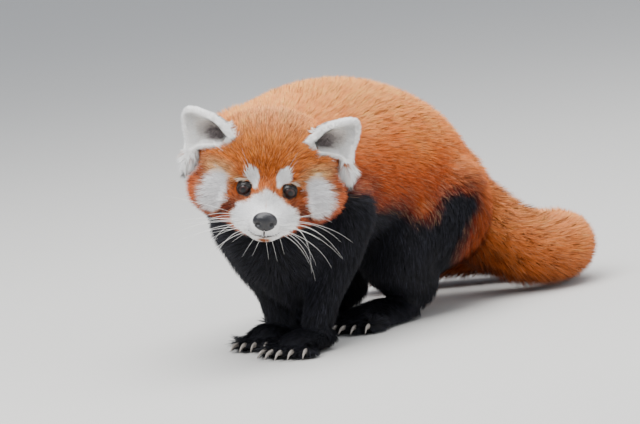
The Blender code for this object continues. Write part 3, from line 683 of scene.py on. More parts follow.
def left_side(drawn):
    """Points of the right side of the body mirrored to the left side."""
    line = smooth_stations([centre for centre, *_ in TORSO], 6)
    heading = unit(np.gradient(line, axis=0) * (1, 1, 0))
    across = np.stack([heading[:, 1], -heading[:, 0], np.zeros(len(line))], axis=1)
    near = np.array([np.argmin(np.linalg.norm((line - p)[:, :2], axis=1)) for p in drawn])
    off = ((drawn - line[near]) * across[near]).sum(axis=1)
    return drawn - across[near] * (2 * np.minimum(off, 0))[:, None]


def body_colour(points, owner, normals):
    """Tip colours of the coat of the body, and how black each point is."""
    drawn = in_frame(BODY, points)
    left = left_side(drawn)
    wave = 5 * cloud(points, 0.035, 3) + 3 * cloud(points, 0.012, 4)
    gap = -inside(left[:, 0], left[:, 2] + wave, BLACK)
    behind = np.maximum(left[:, 1] - 194, drawn[:, 1] - 256) * 0.7
    gap = np.where(drawn[:, 2] > 45, np.maximum(gap, behind), gap)
    sharp = np.clip((left[:, 0] - 120) / 14, 0, 1) * np.clip((112 - left[:, 2]) / 8, 0, 1)
    gap = gap * (1 + 1.3 * sharp)
    # The coat is lighter where the skin faces up and darker where it faces down: partly the coat's own darker
    # flanks and underside, partly painted light from above and painted shade beneath.
    up = normals[:, 2] * 0.5 + 0.5 + 0.08 * cloud(points, 0.05, 8)
    colour = ramp(up, [(0.2, "9A4814"), (0.45, "B85E22"), (0.62, "D07B3A"), (0.8, "E69C60"), (1, "F2AE72")])
    colour = over(colour, np.clip(1 - gap / 52, 0, 1) * 0.9, "93400F")
    colour = over(colour, np.clip(1.1 - gap / 19, 0, 1) * 0.9, "5C1F1B")
    tail = owner == TAIL_COAT
    far = np.clip((drawn[:, 0] - 120) / 110, 0, 1)
    # The tail is lighter on top and darker beneath in the same way: partly its own darker underside, partly
    # painted light from above and painted shade beneath.
    brown = ramp(up, [(0.0, "8A4216"), (0.3, "B0602A"), (0.55, "D08048"), (1.0, "E2A06C")])
    rings = np.clip(np.sin(drawn[:, 0] / 9.0 + drawn[:, 1] / 9.0) * 2 - 0.6, 0, 1) * 0.14
    brown = over(over(brown, far * 0.25, "E8AE7E"), rings, "A0501E")
    colour = np.where(tail[:, None], brown, colour)
    black = np.clip(0.5 - gap / 11, 0, 1)
    legs = (owner == FORELEG_COAT) | (owner == PAW_COAT)
    black = np.where(legs, 1, np.where(tail, 0, black))
    return colour, black


def head_colour(points):
    """Tip colours of the coat of the head, and how black each point is."""
    local = in_frame(HEAD, points)
    x, y, z = np.abs(local[:, 0]), local[:, 1], local[:, 2]
    x = x + 0.8 * cloud(points, 0.012, 5)
    z = z + 0.8 * cloud(points, 0.012, 6)
    colour = ramp(z, [(-30, "B0582E"), (10, "C07434"), (30, "CE823C"), (42, "DA9452"), (56, "E8AC80")])
    back = np.clip((y - 60) / 14, 0, 1)
    colour = over(colour, back, "DC9458")
    side = np.clip((x - 48) / 8, 0, 1) * np.clip((26 - z) / 16, 0, 1)
    colour = over(colour, side, "C06A42")
    low = np.clip((-18 - z) / 14, 0, 1) * (x > 30)
    colour = over(colour, low, "9C4A34")
    under_ear = np.clip(1.3 - np.hypot((x - 57) / 9, (z - 10) / 14), 0, 1)
    colour = over(colour, under_ear * 0.8, "8E4C28")
    front = np.clip((46 - y) / 6, 0, 1)
    above = np.clip(1.2 - np.hypot((x - 42) / 15, (z - 13) / 9), 0, 1)
    colour = over(colour, above * 0.8 * front, "E4CDB0")
    colour = over(colour, patch(x, z, CHEEK_PATCH, 5) * front, "E3DFDF")
    stain = ramp(-z, [(-4, "C07838"), (3, "A05A24"), (10, "7C3C16"), (20, "6A2C14"), (32, "4A1A10")])
    colour = over(colour, patch(x, z, TEAR, 2.5) * front, stain)
    colour = over(colour, patch(x, z, EYE_PALE, 2.5) * 0.8 * front, "E8DACA")
    colour = over(colour, patch(x, z, BROW_SPOT, 2) * front, WHITE)
    near = np.clip((20 - y) / 6, 0, 1)
    colour = over(colour, patch(x, z, MUZZLE_PATCH, 3) * near, WHITE)
    chin = np.clip(1.5 - np.hypot(x / 5.5, (z + 37.5) / 2.8), 0, 1)
    colour = over(colour, chin, "8A5024")
    lips = np.clip(1.6 - np.hypot(np.maximum(x - 8, 0) / 3, (z + 31) / 1.1), 0, 1) * (y < 0)
    colour = over(colour, lips * 0.9, "2A2220")
    rim = np.clip((6.3 - np.hypot(x - EYE_CENTRE[0], z - EYE_CENTRE[2])) / 1.4, 0, 1) * (y < 12)
    colour = over(colour, rim, "1C120E")
    throat = np.clip((-40 - z) / 3, 0, 1) * np.clip((y + 8) / 8, 0, 1)
    throat = np.maximum(throat, np.clip((-33 - z) / 5, 0, 1) * np.clip((y - 14) / 8, 0, 1))
    return colour, throat


def ear_colour(points):
    """White at the rim and the fringe, cream and then dark in the cup."""
    along, up, out, _ = ear_frame(points)
    colour = np.tile(linear("FAF7F2"), (len(points), 1))
    # The cup turns cream and then near black with its depth: partly the inner ear's own darker skin and hair,
    # partly painted shade of the hollow.
    cup = np.clip((-1 - out) / 4, 0, 1) * np.clip(1.5 - np.hypot((along - 2) / 18, (up - 3) / 10), 0, 1)
    colour = over(colour, cup * 0.6, "D8C6B8")
    dark = np.clip(1.6 - np.hypot((along + 2) / 14, (up + 0.5) / 7.5), 0, 1)
    dark = dark * np.clip((-2 - out) / 4, 0, 1)
    return over(colour, dark * (0.9 + 0.1 * cloud(points, 0.003, 12)), "3A3034")


def coat_colour(points, normals, owner):
    """Linear colours of the coat's tips and roots at points of the skin."""
    tip, black = body_colour(points, owner, normals)
    face, throat = head_colour(points)
    head, ears = owner == HEAD_COAT, owner == EAR_COAT
    tip = np.where(head[:, None], face, tip)
    black = np.where(head, throat, black)
    tip = np.where(ears[:, None], ear_colour(points), tip)
    fringe = ear_shares(points)[1] * ~ears
    tip = over(tip, fringe, WHITE)
    black = (np.where(ears, 0, black) * (1 - fringe))[:, None]
    pale = (tip.min(axis=1, keepdims=True) > 0.35) | ears[:, None]
    # The view of the render greys bright reds, so the ruddy coat is laid down redder than its hex colour.
    tip = np.where(pale, tip, tip * np.array([1.06, 0.74, 0.45]))
    # Roots are laid down darker than tips, black roots too: partly the coat's own darker underfur, partly
    # painted shade deep in the coat.
    root = np.where(pale, tip * 0.8, tip * np.array([0.4, 0.3, 0.23]))
    root = np.where(ears[:, None], tip * 0.95, root)
    tip = tip * (1 - black) + linear("0D0D13") * black
    root = root * (1 - black) + linear("040405") * black
    return tip, root


# Tufts


def vertex_arrays(mesh):
    """Places and normals of the corners of a mesh."""
    points = np.empty(len(mesh.vertices) * 3)
    normals = np.empty(len(mesh.vertices) * 3)
    mesh.vertices.foreach_get("co", points)
    mesh.vertex_normals.foreach_get("vector", normals)
    return points.reshape(-1, 3), normals.reshape(-1, 3)


def scatter(skin):
    """Roots spread over the skin by density, each with what the fields say there."""
    mesh = skin.data
    points, normals = vertex_arrays(mesh)
    owner, lie, length, depth, width, density, jitter = coat_fields(points, normals)
    local = in_frame(HEAD, points)
    # Bare are the eyes, the nose, the line of the mouth and the soles.
    bare = np.zeros(len(points), bool)
    for side in PAIR:
        bare |= np.linalg.norm(local - np.array(mirrored(EYE_CENTRE, side)), axis=1) < EYE_RADIUS + 0.15
    bare |= np.linalg.norm((local - np.array(NOSE_CENTRE)) / (np.array(NOSE_RADII) + 0.3), axis=1) < 1
    bare |= (np.abs(local[:, 0]) < 10) & (np.abs(local[:, 2] + 31) < 0.7) & (local[:, 1] < 0)
    bare |= points[:, 2] < BARE_FLOOR
    density = np.where(bare, 0, density)
    mesh.calc_loop_triangles()
    corners = np.empty(len(mesh.loop_triangles) * 3, int)
    mesh.loop_triangles.foreach_get("vertices", corners)
    corners = corners.reshape(-1, 3)
    loops = np.empty(len(mesh.loop_triangles) * 3, int)
    mesh.loop_triangles.foreach_get("loops", loops)
    uv = np.empty(len(mesh.loops) * 2)
    mesh.uv_layers.active.uv.foreach_get("vector", uv)
    uv = uv.reshape(-1, 2)[loops.reshape(-1, 3)]
    first, second, third = points[corners].transpose(1, 0, 2)
    area = np.linalg.norm(np.cross(second - first, third - first), axis=1) / 2
    wanted = area * density[corners].min(axis=1)
    total = np.cumsum(wanted)
    pick = np.searchsorted(total, (np.arange(TUFTS) + RNG.random(TUFTS)) / TUFTS * total[-1])
    pick = np.minimum(pick, len(total) - 1)
    a, b = RNG.random(TUFTS), RNG.random(TUFTS)
    flip = a + b > 1
    a, b = np.where(flip, 1 - a, a), np.where(flip, 1 - b, b)
    share = np.stack([1 - a - b, a, b], axis=1)

    def mixed(values):
        weights = share.reshape(*share.shape, *[1] * (values.ndim - 1))
        return (values[corners[pick]] * weights).sum(axis=1)

    return {
        "root": mixed(points), "normal": unit(mixed(normals)), "lie": unit(mixed(lie)),
        "length": mixed(length), "depth": mixed(depth), "width": mixed(width), "jitter": mixed(jitter),
        "owner": owner[corners[pick, 0]], "uv": (uv[pick] * share[:, :, None]).sum(axis=1),
    }


CORNERS = np.radians((90, 210, 330))  # the three corners of a tuft's root


def clumped(root, tip, size, pull):
    """Tips drawn together within cells of the coat, so that it breaks into small locks."""
    cell = np.floor(root / size + RNG.uniform(0, 1, 3)).astype(int)
    _, cell = np.unique(cell, axis=0, return_inverse=True)
    cell = cell.ravel()
    count = np.bincount(cell)
    middle = np.stack([np.bincount(cell, tip[:, i]) / count for i in range(3)], axis=1)
    offset = root - np.stack([np.bincount(cell, root[:, i]) / count for i in range(3)], axis=1)[cell]
    return tip * (1 - pull) + (middle[cell] + offset * 0.2) * pull


def shape_tufts(field):
    """Three points round the root of each tuft and its tip, and the normals to shade them by."""
    n = len(field["root"])
    normal, root = field["normal"], field["root"]
    lie = field["lie"] + RNG.normal(0, 1, (n, 3)) * field["jitter"][:, None]
    lie = unit(lie - normal * (lie * normal).sum(axis=1)[:, None])
    length = field["length"] * RNG.uniform(0.7, 1.15, n)
    lift = np.clip(field["depth"] / field["length"] * RNG.uniform(0.75, 1.2, n), 0.05, 0.9)[:, None]
    out = normal * lift + lie * np.sqrt(1 - lift**2)
    start = root - normal * (0.5 * MM)
    tip = start + out * length[:, None]
    # Short coats are drawn together less, so that they lie smooth.
    tip = clumped(root, tip, LOCK_SIZE, 0.42 * np.clip(length[:, None] / (9 * MM), 0.12, 1))
    side = unit(np.cross(normal, lie))
    width = field["width"] * RNG.uniform(0.8, 1.25, n)
    rings = []
    for angle in CORNERS:
        flat, deep = math.cos(angle) * 0.62, math.sin(angle) * 0.3
        rings.append(start + (side * flat + lie * deep + normal * deep) * width[:, None])
    points = np.stack([*rings, tip], axis=1)
    points[:, :, 2] = np.maximum(points[:, :, 2], TUFT_FLOOR)
    heading = unit(tip - start)
    upward = unit(np.cross(side, heading))
    upward *= np.sign((upward * normal).sum(axis=1))[:, None]
    soft = unit(normal * 0.35 + upward * 0.65)
    edges = [unit(soft + side * (math.cos(angle) * 0.8)) for angle in CORNERS]
    return points, np.stack([*edges, soft], axis=1)


TUFT_FACES = [(0, 2, 1), (0, 1, 3), (1, 2, 3), (2, 0, 3)]
# The small patch of the skin's own unwrap that a tuft's corners are mapped to.
TUFT_PATCH = np.array([(0, -1), (-0.9, -0.6), (0.9, -0.6), (0, 1)]) * 0.0014


def tuft_object(name, points, normals, colours, uv, material):
    """One coat piece from the tufts' points (n, 4, 3)."""
    n = len(points)
    faces = (np.arange(n)[:, None, None] * 4 + np.array(TUFT_FACES)[None]).reshape(-1, 3)
    mesh = bpy.data.meshes.new(name)
    mesh.vertices.add(n * 4)
    mesh.vertices.foreach_set("co", points.ravel())
    mesh.loops.add(faces.size)
    mesh.loops.foreach_set("vertex_index", faces.ravel())
    mesh.polygons.add(len(faces))
    mesh.polygons.foreach_set("loop_start", np.arange(len(faces)) * 3)
    mesh.update(calc_edges=True)
    mesh.shade_smooth()
    mesh.normals_split_custom_set_from_vertices(normals.reshape(-1, 3).tolist())
    layer = mesh.uv_layers.new(name="OFBake")
    corner = (uv[:, None] + TUFT_PATCH[None]).reshape(-1, 2)[faces.ravel()]
    layer.uv.foreach_set("vector", corner.ravel())
    paint = mesh.color_attributes.new("coat", "FLOAT_COLOR", "POINT")
    rgba = np.concatenate([colours.reshape(-1, 3), np.ones((n * 4, 1))], axis=1)
    paint.data.foreach_set("color", rgba.ravel())
    mesh.materials.append(material)
    return new_object(name, mesh)


# Materials


def node(tree, kind, links=(), **settings):
    """A new node with its settings, and its inputs linked or set by name."""
    made = tree.nodes.new(kind)
    for key, value in settings.items():
        setattr(made, key, value)
    for name, value in dict(links).items():
        if isinstance(value, bpy.types.NodeSocket):
            tree.links.new(value, made.inputs[name])
        else:
            made.inputs[name].default_value = value
    return made


def new_material(name, **inputs):
    """A new material with its shader's inputs set; an underscore stands for a space of their names."""
    material = bpy.data.materials.new(name)
    material.use_nodes = True
    tree = material.node_tree
    shader = tree.nodes["Principled BSDF"]
    for key, value in inputs.items():
        shader.inputs[key.replace("_", " ")].default_value = value
    return material, tree, shader


# Sizes of the fine patterns in mm. A real hair is about 0.08 mm thick, and the creases and pebbles of bare
# skin are about as fine; all are drawn as coarse as they need to be to show in the render.
HAIR_GRAIN = 1.11
LID_CREASES = 1.43
NOSE_PEBBLES = 0.77
LIP_CREASES = 1.11
HORN_GRAIN = 2.0


def per_metre(size):
    """A pattern's scale from the size in mm of one of its marks, to the nearest ten."""
    return round(1000 / size, -1)


def fur(name, roughness):
    """Dull hair in the coat's own colours, with a fine grain that breaks up the light like single hairs."""
    material, tree, shader = new_material(name, Roughness=roughness, Specular_IOR_Level=0.22)
    colour = node(tree, "ShaderNodeAttribute", attribute_name="coat")
    place = node(tree, "ShaderNodeTexCoord").outputs["Object"]
    grain = node(tree, "ShaderNodeTexNoise", {"Vector": place, "Scale": per_metre(HAIR_GRAIN), "Detail": 2.0})
    vary = node(tree, "ShaderNodeMapRange", {"Value": grain.outputs["Fac"], "To Min": 0.8, "To Max": 1.2})
    shade = node(tree, "ShaderNodeVectorMath", {0: colour.outputs["Color"]}, operation="SCALE")
    tree.links.new(vary.outputs["Result"], shade.inputs["Scale"])
    tree.links.new(shade.outputs["Vector"], shader.inputs["Base Color"])
    relief = {"Height": grain.outputs["Fac"], "Strength": 0.3, "Distance": 0.0004}
    bump = node(tree, "ShaderNodeBump", relief)
    tree.links.new(bump.outputs["Normal"], shader.inputs["Normal"])
    return material


def coat_hair():
    """Long outer hair: soft, with a faint shine along the locks."""
    return fur("coat_hair", 0.6)


def underfur_and_painted_shade():
    """Woolly hair close to the skin, in the skin's darkened colours, partly its own darker underfur and
    partly painted shade: matt, so that gaps in the coat stay deep.
    """
    return fur("underfur_and_painted_shade", 0.8)


def bare(name, code, roughness, clear_coat, relief=None):
    """A hairless finish in one colour. Its relief is a texture node, that node's output, mm and strength."""
    shine = {"Roughness": roughness, "Coat_Weight": clear_coat, "Coat_Roughness": 0.04}
    material, tree, shader = new_material(name, **shine)
    shader.inputs["Base Color"].default_value = (*linear(code), 1)
    if relief:
        texture, output, size, strength = relief
        place = node(tree, "ShaderNodeTexCoord").outputs["Object"]
        height = node(tree, texture, {"Vector": place, "Scale": per_metre(size)}).outputs[output]
        bump = node(tree, "ShaderNodeBump", {"Height": height, "Strength": strength, "Distance": 0.0005})
        tree.links.new(bump.outputs["Normal"], shader.inputs["Normal"])
    return material


def lid_skin():
    """Thin bare skin: a nearly black rim without shine, which sets off the wet eye."""
    return bare("lid_skin", "0C0908", 0.6, 0.0, ("ShaderNodeTexNoise", "Fac", LID_CREASES, 0.3))


def nose_leather():
    """Moist pebbled leather: black, with soft highlights broken up by its pebbles."""
    pebbles = ("ShaderNodeTexVoronoi", "Distance", NOSE_PEBBLES, 0.35)
    return bare("nose_leather", "16151A", 0.34, 0.25, pebbles)


def lip_skin():
    """Damp bare skin: a dark line with a slight gleam between the pale pads."""
    return bare("lip_skin", "1A1210", 0.45, 0.1, ("ShaderNodeTexNoise", "Fac", LIP_CREASES, 0.3))


def claw_horn():
    """Horn worn smooth: greyish, a little clouded, with a soft shine along the curve."""
    return bare("claw_horn", "8F8880", 0.35, 0.1, ("ShaderNodeTexNoise", "Fac", HORN_GRAIN, 0.2))


def whisker_hair():
    """Stiff smooth hair: a white thread that catches the light."""
    return bare("whisker_hair", "F4F2EE", 0.3, 0.0)


def eye_cornea():
    """A clear wet coat over a dark brown iris: deep, with one small sharp highlight."""
    shine = {"Roughness": 0.6, "Coat_Weight": 0.5, "Coat_Roughness": 0.02, "Specular_IOR_Level": 0.2}
    material, tree, shader = new_material("eye_cornea", **shine)
    colour = node(tree, "ShaderNodeAttribute", attribute_name="iris")
    tree.links.new(colour.outputs["Color"], shader.inputs["Base Color"])
    return material


def pale_floor():
    """Painted board: even and dull, so that only the shadow shows on it."""
    material, _, shader = new_material("pale_floor", Roughness=0.75)
    shader.inputs["Base Color"].default_value = (*linear("C9C7C2"), 1)
    return material


def make_coat(skin):
    """The coat in pieces, one or more for each owner of the skin."""
    field = scatter(skin)
    points, normals = shape_tufts(field)
    middle = points[:, :3].mean(axis=1) * 0.4 + points[:, 3] * 0.6
    tip, root = coat_colour(middle, field["normal"], field["owner"])
    n = len(tip)
    tip = tip * RNG.normal(1, 0.2, (n, 1)).clip(0.5, 1.5)
    locks = 1 + 0.28 * cloud(field["root"], 0.007, 21) + 0.14 * cloud(field["root"], 0.016, 22)
    tip = tip * np.where(tip.min(axis=1) < 0.35, locks, 1 + 0.25 * (locks - 1))[:, None]
    # A few black tips are lifted at random towards grey-blue: painted sheen of lit black hair.
    black_tips_with_painted_sheen = tip.max(axis=1) < 0.03
    tip = tip + linear("34343F") * (black_tips_with_painted_sheen * RNG.random(n) ** 5)[:, None]
    ruddy = tip.min(axis=1) < 0.3 * tip.max(axis=1)
    flecks = (RNG.random(n) < DARK_FLECKS) & (field["owner"] == HEAD_COAT) & ruddy
    tip = np.where(flecks[:, None], tip * 0.22, tip)
    blond = (RNG.random(n) < BLOND_FLECKS) & ruddy & ~flecks
    tip = np.where(blond[:, None], tip * 0.75 + linear("F0C89A") * 0.25, tip)
    colours = np.stack([root] * 3 + [np.minimum(tip * 1.15, 0.93)], axis=1)
    material = coat_hair()
    made = []
    order = np.lexsort((field["root"][:, 1], field["owner"]))
    for k, owner in enumerate(OWNERS):
        mine = order[field["owner"][order] == k]
        pieces = -(-len(mine) // PIECE_TUFTS)
        for number, rows in enumerate(np.array_split(mine, max(pieces, 1))):
            if len(rows):
                name = f"coat_{owner}_{number + 1}"
                parts = [values[rows] for values in (points, normals, colours, field["uv"])]
                made.append(tuft_object(name, *parts, material))
    return made


def dress_skin(skin):
    """Gives the skin the coat's own markings, darkened mostly to the roots' colour as painted shade between
    the tufts, so that no gap in the coat shows pale.
    """
    points, normals = vertex_arrays(skin.data)
    owner = coat_fields(points, normals)[0]
    tip, root = coat_colour(points, normals, owner)
    paint = skin.data.color_attributes.new("coat", "FLOAT_COLOR", "POINT")
    colour = root * 0.7 + tip * 0.3
    paint.data.foreach_set("color", np.concatenate([colour, np.ones((len(tip), 1))], axis=1).ravel())
    skin.data.materials.clear()
    skin.data.materials.append(underfur_and_painted_shade())


# Eyes, lids, nose, mouth, claws and whiskers


LOOK_OUT = math.radians(10)  # how far each eye looks to its own side
# Colours of the eye by the distance in mm from its middle: pupil, iris and dark rim.
IRIS = [
    (0, "030202"), (2.0, "030202"), (2.3, "1C0B07"), (3.0, "321610"),
    (3.7, "22100B"), (4.8, "080504"), (9, "070505"),
]
# The half width and half height of the opening between the lids, and the lids' section: the share of the
# way out from the opening, and the height in mm over the ball.
LID_OPENING = (4.9, 4.05)
LID_SECTION = ((0.0, 0.05), (0.0, 0.4), (0.35, 0.55), (0.75, 0.4), (1.0, 0.0), (1.0, -0.6))


def gaze(side):
    """The frame of an eye, which looks along its -Y."""
    centre = Matrix.Translation(Vector(mirrored(EYE_CENTRE, side)) * MM)
    return HEAD @ centre @ Matrix.Rotation(side * LOOK_OUT, 4, "Z")


def make_eye(side, material):
    """The ball of an eye, with its iris painted on and the cornea a little raised."""
    name = "eye_left" if side > 0 else "eye_right"
    form = bmesh.new()
    bmesh.ops.create_uvsphere(form, u_segments=64, v_segments=48, radius=EYE_RADIUS * MM)
    form.transform(Matrix.Rotation(math.radians(90), 4, "X"))
    mesh = bpy.data.meshes.new(name + "_ball")
    form.to_mesh(mesh)
    form.free()
    points = np.array([v.co for v in mesh.vertices]) / MM
    off = np.hypot(points[:, 0], points[:, 2])
    front = points[:, 1] < 0
    colour = ramp(np.where(front, off, 9), IRIS)
    paint = mesh.color_attributes.new("iris", "FLOAT_COLOR", "POINT")
    paint.data.foreach_set("color", np.concatenate([colour, np.ones((len(colour), 1))], axis=1).ravel())
    bulge = np.where(front & (off < 5), 0.5 * (1 - (off / 5) ** 2), 0)
    for vert, rise in zip(mesh.vertices, bulge):
        vert.co.y -= rise * MM
    mesh.transform(gaze(side))
    mesh.shade_smooth()
    mesh.materials.append(material)
    return new_object(name + "_ball", mesh)


def make_lids(side, material):
    """The dark margin round an eye, from the opening down to the skin, hugging the ball."""
    form, place = bmesh.new(), gaze(side)
    wide, high = LID_OPENING
    rings = []
    for share, off in LID_SECTION:
        ring = []
        for k in range(48):
            a = 2 * math.pi * k / 48
            inner = Vector((wide * math.cos(a), 0, high * math.sin(a) + 0.1 - 0.4 * side * math.cos(a)))
            if math.cos(a) * side < -0.6:
                inner.x *= 1.12
            row = inner * (1 + share * 0.2)
            reach = math.sqrt(max(EYE_RADIUS**2 - row.x**2 - row.z**2, 0.4))
            at = Vector((row.x, -reach, row.z))
            ring.append(form.verts.new(place @ ((at + at.normalized() * off) * MM)))
        rings.append(ring)
    for low, high in zip(rings, rings[1:] + rings[:1]):
        for k in range(48):
            form.faces.new((low[k - 1], low[k], high[k], high[k - 1]))
    bmesh.ops.recalc_face_normals(form, faces=form.faces)
    name = "lids_left" if side > 0 else "lids_right"
    mesh = bpy.data.meshes.new(name)
    form.to_mesh(mesh)
    form.free()
    mesh.shade_smooth()
    mesh.materials.append(material)
    return new_object(name, mesh)


def dent(x, z, middle, spread):
    """A soft round dent, 1 in its middle, in mm of the nose pad."""
    return np.exp(-(((x - middle[0]) / spread[0]) ** 2 + ((z - middle[1]) / spread[1]) ** 2))


def make_nose(material):
    """The nose pad, with its nostrils, their slits and the groove between them."""
    form = bmesh.new()
    bmesh.ops.create_uvsphere(form, u_segments=72, v_segments=48, radius=1)
    mesh = bpy.data.meshes.new("nose_pad")
    form.to_mesh(mesh)
    form.free()
    points = np.array([v.co for v in mesh.vertices])
    x, y, z = points.T
    x = x * (1 + 0.10 * z) * (1 - 0.10 * np.clip(-z - 0.5, 0, 1))
    size = np.stack([x * NOSE_RADII[0], y * NOSE_RADII[1], z * NOSE_RADII[2]], axis=1)
    front = y < 0
    for side in PAIR:
        hole = dent(size[:, 0], size[:, 2], (side * 5.4, -1.2), (1.9, 1.5)) * front
        slit = dent(size[:, 0], size[:, 2], (side * 8.2, -2.6), (1.8, 0.9)) * front
        size[:, 1] += 3.0 * hole + 1.5 * slit
    groove = np.exp(-((size[:, 0] / 0.7) ** 2)) * np.clip(-size[:, 2] / 4, 0, 1) * front
    size[:, 1] += 0.9 * groove
    at = (size + np.array(NOSE_CENTRE)) * MM
    world = at @ np.array(HEAD.to_3x3()).T + np.array(HEAD.translation)
    mesh.vertices.foreach_set("co", world.ravel())
    mesh.update()
    mesh.shade_smooth()
    mesh.materials.append(material)
    return new_object("nose_pad", mesh)


def on_skin(tree, x, z, raised=0.0):
    """The point of the face in front of (x, z) of the head's frame, in mm of that frame."""
    start = HEAD @ (Vector((x, -80, z)) * MM)
    hit = tree.ray_cast(start, HEAD.to_3x3() @ Vector((0, 1, 0)))[0]
    return HEAD.inverted() @ hit / MM + Vector((0, -raised, 0))


def make_mouth(tree, material):
    """Dark lips along the line of the mouth, and the groove from it up to the nose."""
    forms = []
    line = []
    for share in np.linspace(-1, 1, 17):
        z = -30.8 + 1.2 * abs(share) - 0.8 * math.exp(-((share / 0.12) ** 2)) + 2.2 * share**4
        line.append(on_skin(tree, 13.5 * share, z, 0.9 - 0.6 * share * share))
    sizes = [1.15 - 0.6 * abs(share) for share in np.linspace(-1, 1, 17)]
    forms.append(tube([(p, r, r * 0.8) for p, r in zip(line, sizes)], HEAD, around=8, per_span=2))
    cleft = [on_skin(tree, 0, z, 0.8) for z in (-26.0, -28.0, -30.0, -31.4)]
    forms.append(tube([(p, 0.7, 0.7) for p in cleft], HEAD, reference=(1, 0, 0), around=8, per_span=2))
    mesh = joined(forms)
    mesh.shade_smooth()
    mesh.materials.append(material)
    return new_object("mouth_line", mesh)


# A claw from root to tip: share of its length, height in mm and share of its thickness.
CLAW = [(0, 0, 1.0), (0.35, 0.6, 0.9), (0.7, -0.4, 0.6), (1.0, -CLAW_DROP, 0.16)]
CLAW_ROOT = 2  # how much of a claw is hidden in the toe, in mm


def make_claws(material):
    forms = []
    for heel, toes, half_width, _ in PAWS.values():
        for root, along in toe_places(heel, toes, half_width):
            start = root + along * TOE_LENGTH
            whole = along * (CLAW_LENGTH + CLAW_ROOT)
            stations = []
            for share, lift, thick in CLAW:
                r = CLAW_RADIUS * thick
                stations.append((start + whole * share + Vector((0, 0, lift)), r * 0.7, r))
            forms.append(tube(stations, BODY, around=10, per_span=4))
    mesh = joined(forms)
    mesh.shade_smooth()
    mesh.materials.append(material)
    return new_object("claws", mesh)


# Whiskers in three rows on each lip pad. Lengths and droops are in mm and drawn between these.
WHISKERS, WHISKER_ROWS = 14, 3
WHISKER_LENGTH, WHISKER_DROOP, WHISKER_BEND = (38, 74), (2, 34), (-14, 2)
# Half thicknesses in mm at root and tip, thicker than real ones so that they show in the render.
LIP_WHISKER, CHIN_WHISKER, BROW_WHISKER = (0.19, 0.04), (0.13, 0.04), (0.09, 0.03)
CHIN_ROOTS, CHIN_HEIGHT = (-14, -8, -3, 2, 7, 13), -37
BROW_ROOTS, BROW_OFF = ((18, 20), (15, 16)), 16  # height and reach, and how far off the middle


def hair(line, thickness):
    """A tapered hair along a line of the head's frame."""
    stations = [(p, r, r) for p, r in zip(line, np.linspace(*thickness, len(line)))]
    return tube(stations, HEAD, around=5, per_span=2, caps=(45,))


def lip_whisker(tree, side, k):
    row, place = k % WHISKER_ROWS, k // WHISKER_ROWS
    x = 12 + 3.4 * place + RNG.uniform(-1, 1)
    root = on_skin(tree, side * x, -21 - 3.6 * row + RNG.uniform(-1, 1))
    length = RNG.uniform(*WHISKER_LENGTH) * (1 - 0.08 * row)
    droop, bend = RNG.uniform(*WHISKER_DROOP), RNG.uniform(*WHISKER_BEND)
    rise = 0.10 - 0.22 * row + RNG.uniform(-0.08, 0.08)
    heading = Vector((side * 1.0, -0.10 + 0.12 * place, rise)).normalized()
    line = []
    for s in np.linspace(0, 1, 7):
        sag = Vector((side * bend * s * s, 3 * s * s, -droop * s**2.2))
        line.append(root + heading * (length * s) + sag)
    return hair(line, LIP_WHISKER)


def make_whiskers(tree, material):
    """The long hairs of the lip pads, the brows and the chin."""
    forms = []
    steps = np.linspace(0, 1, 5)
    for side in PAIR:
        forms += [lip_whisker(tree, side, k) for k in range(WHISKERS)]
        for z, reach in BROW_ROOTS:
            root = on_skin(tree, side * BROW_OFF, z)
            line = [root + Vector((side * 8 * s, -10 * s, reach * s)) for s in steps]
            forms.append(hair(line, BROW_WHISKER))
    for x in CHIN_ROOTS:
        root = on_skin(tree, x, CHIN_HEIGHT)
        reach, lean = RNG.uniform(9, 21), RNG.uniform(-5, 5)
        line = [root + Vector(((x * 0.8 + lean) * s, 2 * s - 3 * s * s, -reach * s)) for s in steps]
        forms.append(hair(line, CHIN_WHISKER))
    mesh = joined(forms)
    mesh.shade_smooth()
    mesh.materials.append(material)
    return new_object("whiskers", mesh)


# Floor, light and camera


CAMERA_TARGET, CAMERA_DISTANCE = (0, 0.10, 0.1117), 4.0
CAMERA_ELEVATION, CAMERA_ROLL = math.radians(6.5), math.radians(6.5)
PICTURE_WIDTH, FOCAL_LENGTH = 640, 4520  # in pixels
SENSOR_WIDTH = 36
# Place and size in metres and power in watts of each light.
LIGHTS = {
    "key": ((-0.9, -1.2, 2.0), 1.6, 72),
    "top": ((0.2, 0.2, 2.2), 2.0, 74),
    "fill": ((1.8, -1.4, 0.9), 2.0, 20),
}
LIGHT_TARGET = (0, 0, 0.1)
SKY, SKY_STRENGTH = (0.85, 0.9, 1.0, 1), 0.75
FLOOR_SIZE = 30


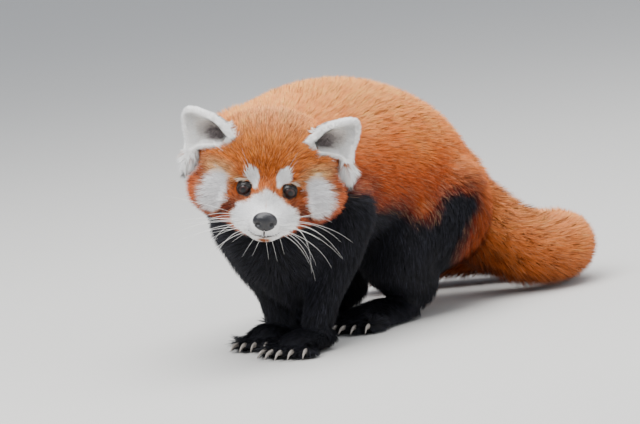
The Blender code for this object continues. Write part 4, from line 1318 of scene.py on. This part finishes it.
def make_camera():
    forward = Vector((0, math.cos(CAMERA_ELEVATION), -math.sin(CAMERA_ELEVATION)))
    up = Vector((0, math.sin(CAMERA_ELEVATION), math.cos(CAMERA_ELEVATION)))
    right = Vector((1, 0, 0))
    turned_right = right * math.cos(CAMERA_ROLL) - up * math.sin(CAMERA_ROLL)
    turned_up = up * math.cos(CAMERA_ROLL) + right * math.sin(CAMERA_ROLL)
    camera = bpy.data.objects.new("camera", bpy.data.cameras.new("camera"))
    bpy.context.scene.collection.objects.link(camera)
    camera.data.sensor_width = SENSOR_WIDTH
    camera.data.lens = FOCAL_LENGTH / PICTURE_WIDTH * SENSOR_WIDTH
    camera.data.clip_end = 100
    axes = Matrix((turned_right, turned_up, -forward)).transposed().to_4x4()
    axes.translation = Vector(CAMERA_TARGET) + SHIFT - forward * CAMERA_DISTANCE
    camera.matrix_world = axes
    bpy.context.scene.camera = camera


def area_light(name, place, size, power):
    light = bpy.data.objects.new(name, bpy.data.lights.new(name, "AREA"))
    light.data.size = size
    light.data.energy = power
    light.location = place
    light.rotation_euler = (Vector(LIGHT_TARGET) - Vector(place)).to_track_quat("-Z", "Y").to_euler()
    bpy.context.scene.collection.objects.link(light)


def make_stage():
    form = bmesh.new()
    bmesh.ops.create_grid(form, size=FLOOR_SIZE)
    mesh = bpy.data.meshes.new("floor")
    form.to_mesh(mesh)
    form.free()
    mesh.materials.append(pale_floor())
    floor = new_object("floor", mesh)
    for name, (place, size, power) in LIGHTS.items():
        area_light(name, place, size, power)
    world = bpy.data.worlds.new("studio")
    bpy.context.scene.world = world
    world.use_nodes = True
    sky = world.node_tree.nodes["Background"]
    sky.inputs["Color"].default_value = SKY
    sky.inputs["Strength"].default_value = SKY_STRENGTH


def coat_slot(name):
    if "ears" in name:
        return "white_fur"
    return "black_fur" if "leg" in name or "paw" in name else "russet_fur"


def belongs(obj, slot, *nodes):
    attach(obj, "root")
    if nodes:
        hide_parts(*nodes)


def main():
    make_stage()
    make_camera()
    skin = make_skin()
    dress_skin(skin)
    tree = BVHTree.FromObject(skin, bpy.context.evaluated_depsgraph_get())
    flesh = [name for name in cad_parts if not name.startswith(("eye", "nose"))]
    belongs(skin, "russet_fur", *flesh)
    for piece in make_coat(skin):
        belongs(piece, coat_slot(piece.name))
    cornea, rim = eye_cornea(), lid_skin()
    for side, name in ((1, "left"), (-1, "right")):
        belongs(make_eye(side, cornea), "eye", f"eye_{name}")
        belongs(make_lids(side, rim), "nose_skin")
    belongs(make_nose(nose_leather()), "nose_skin", "nose")
    belongs(make_mouth(tree, lip_skin()), "nose_skin")
    belongs(make_claws(claw_horn()), "black_fur")
    belongs(make_whiskers(tree, whisker_hair()), "white_fur")


main()
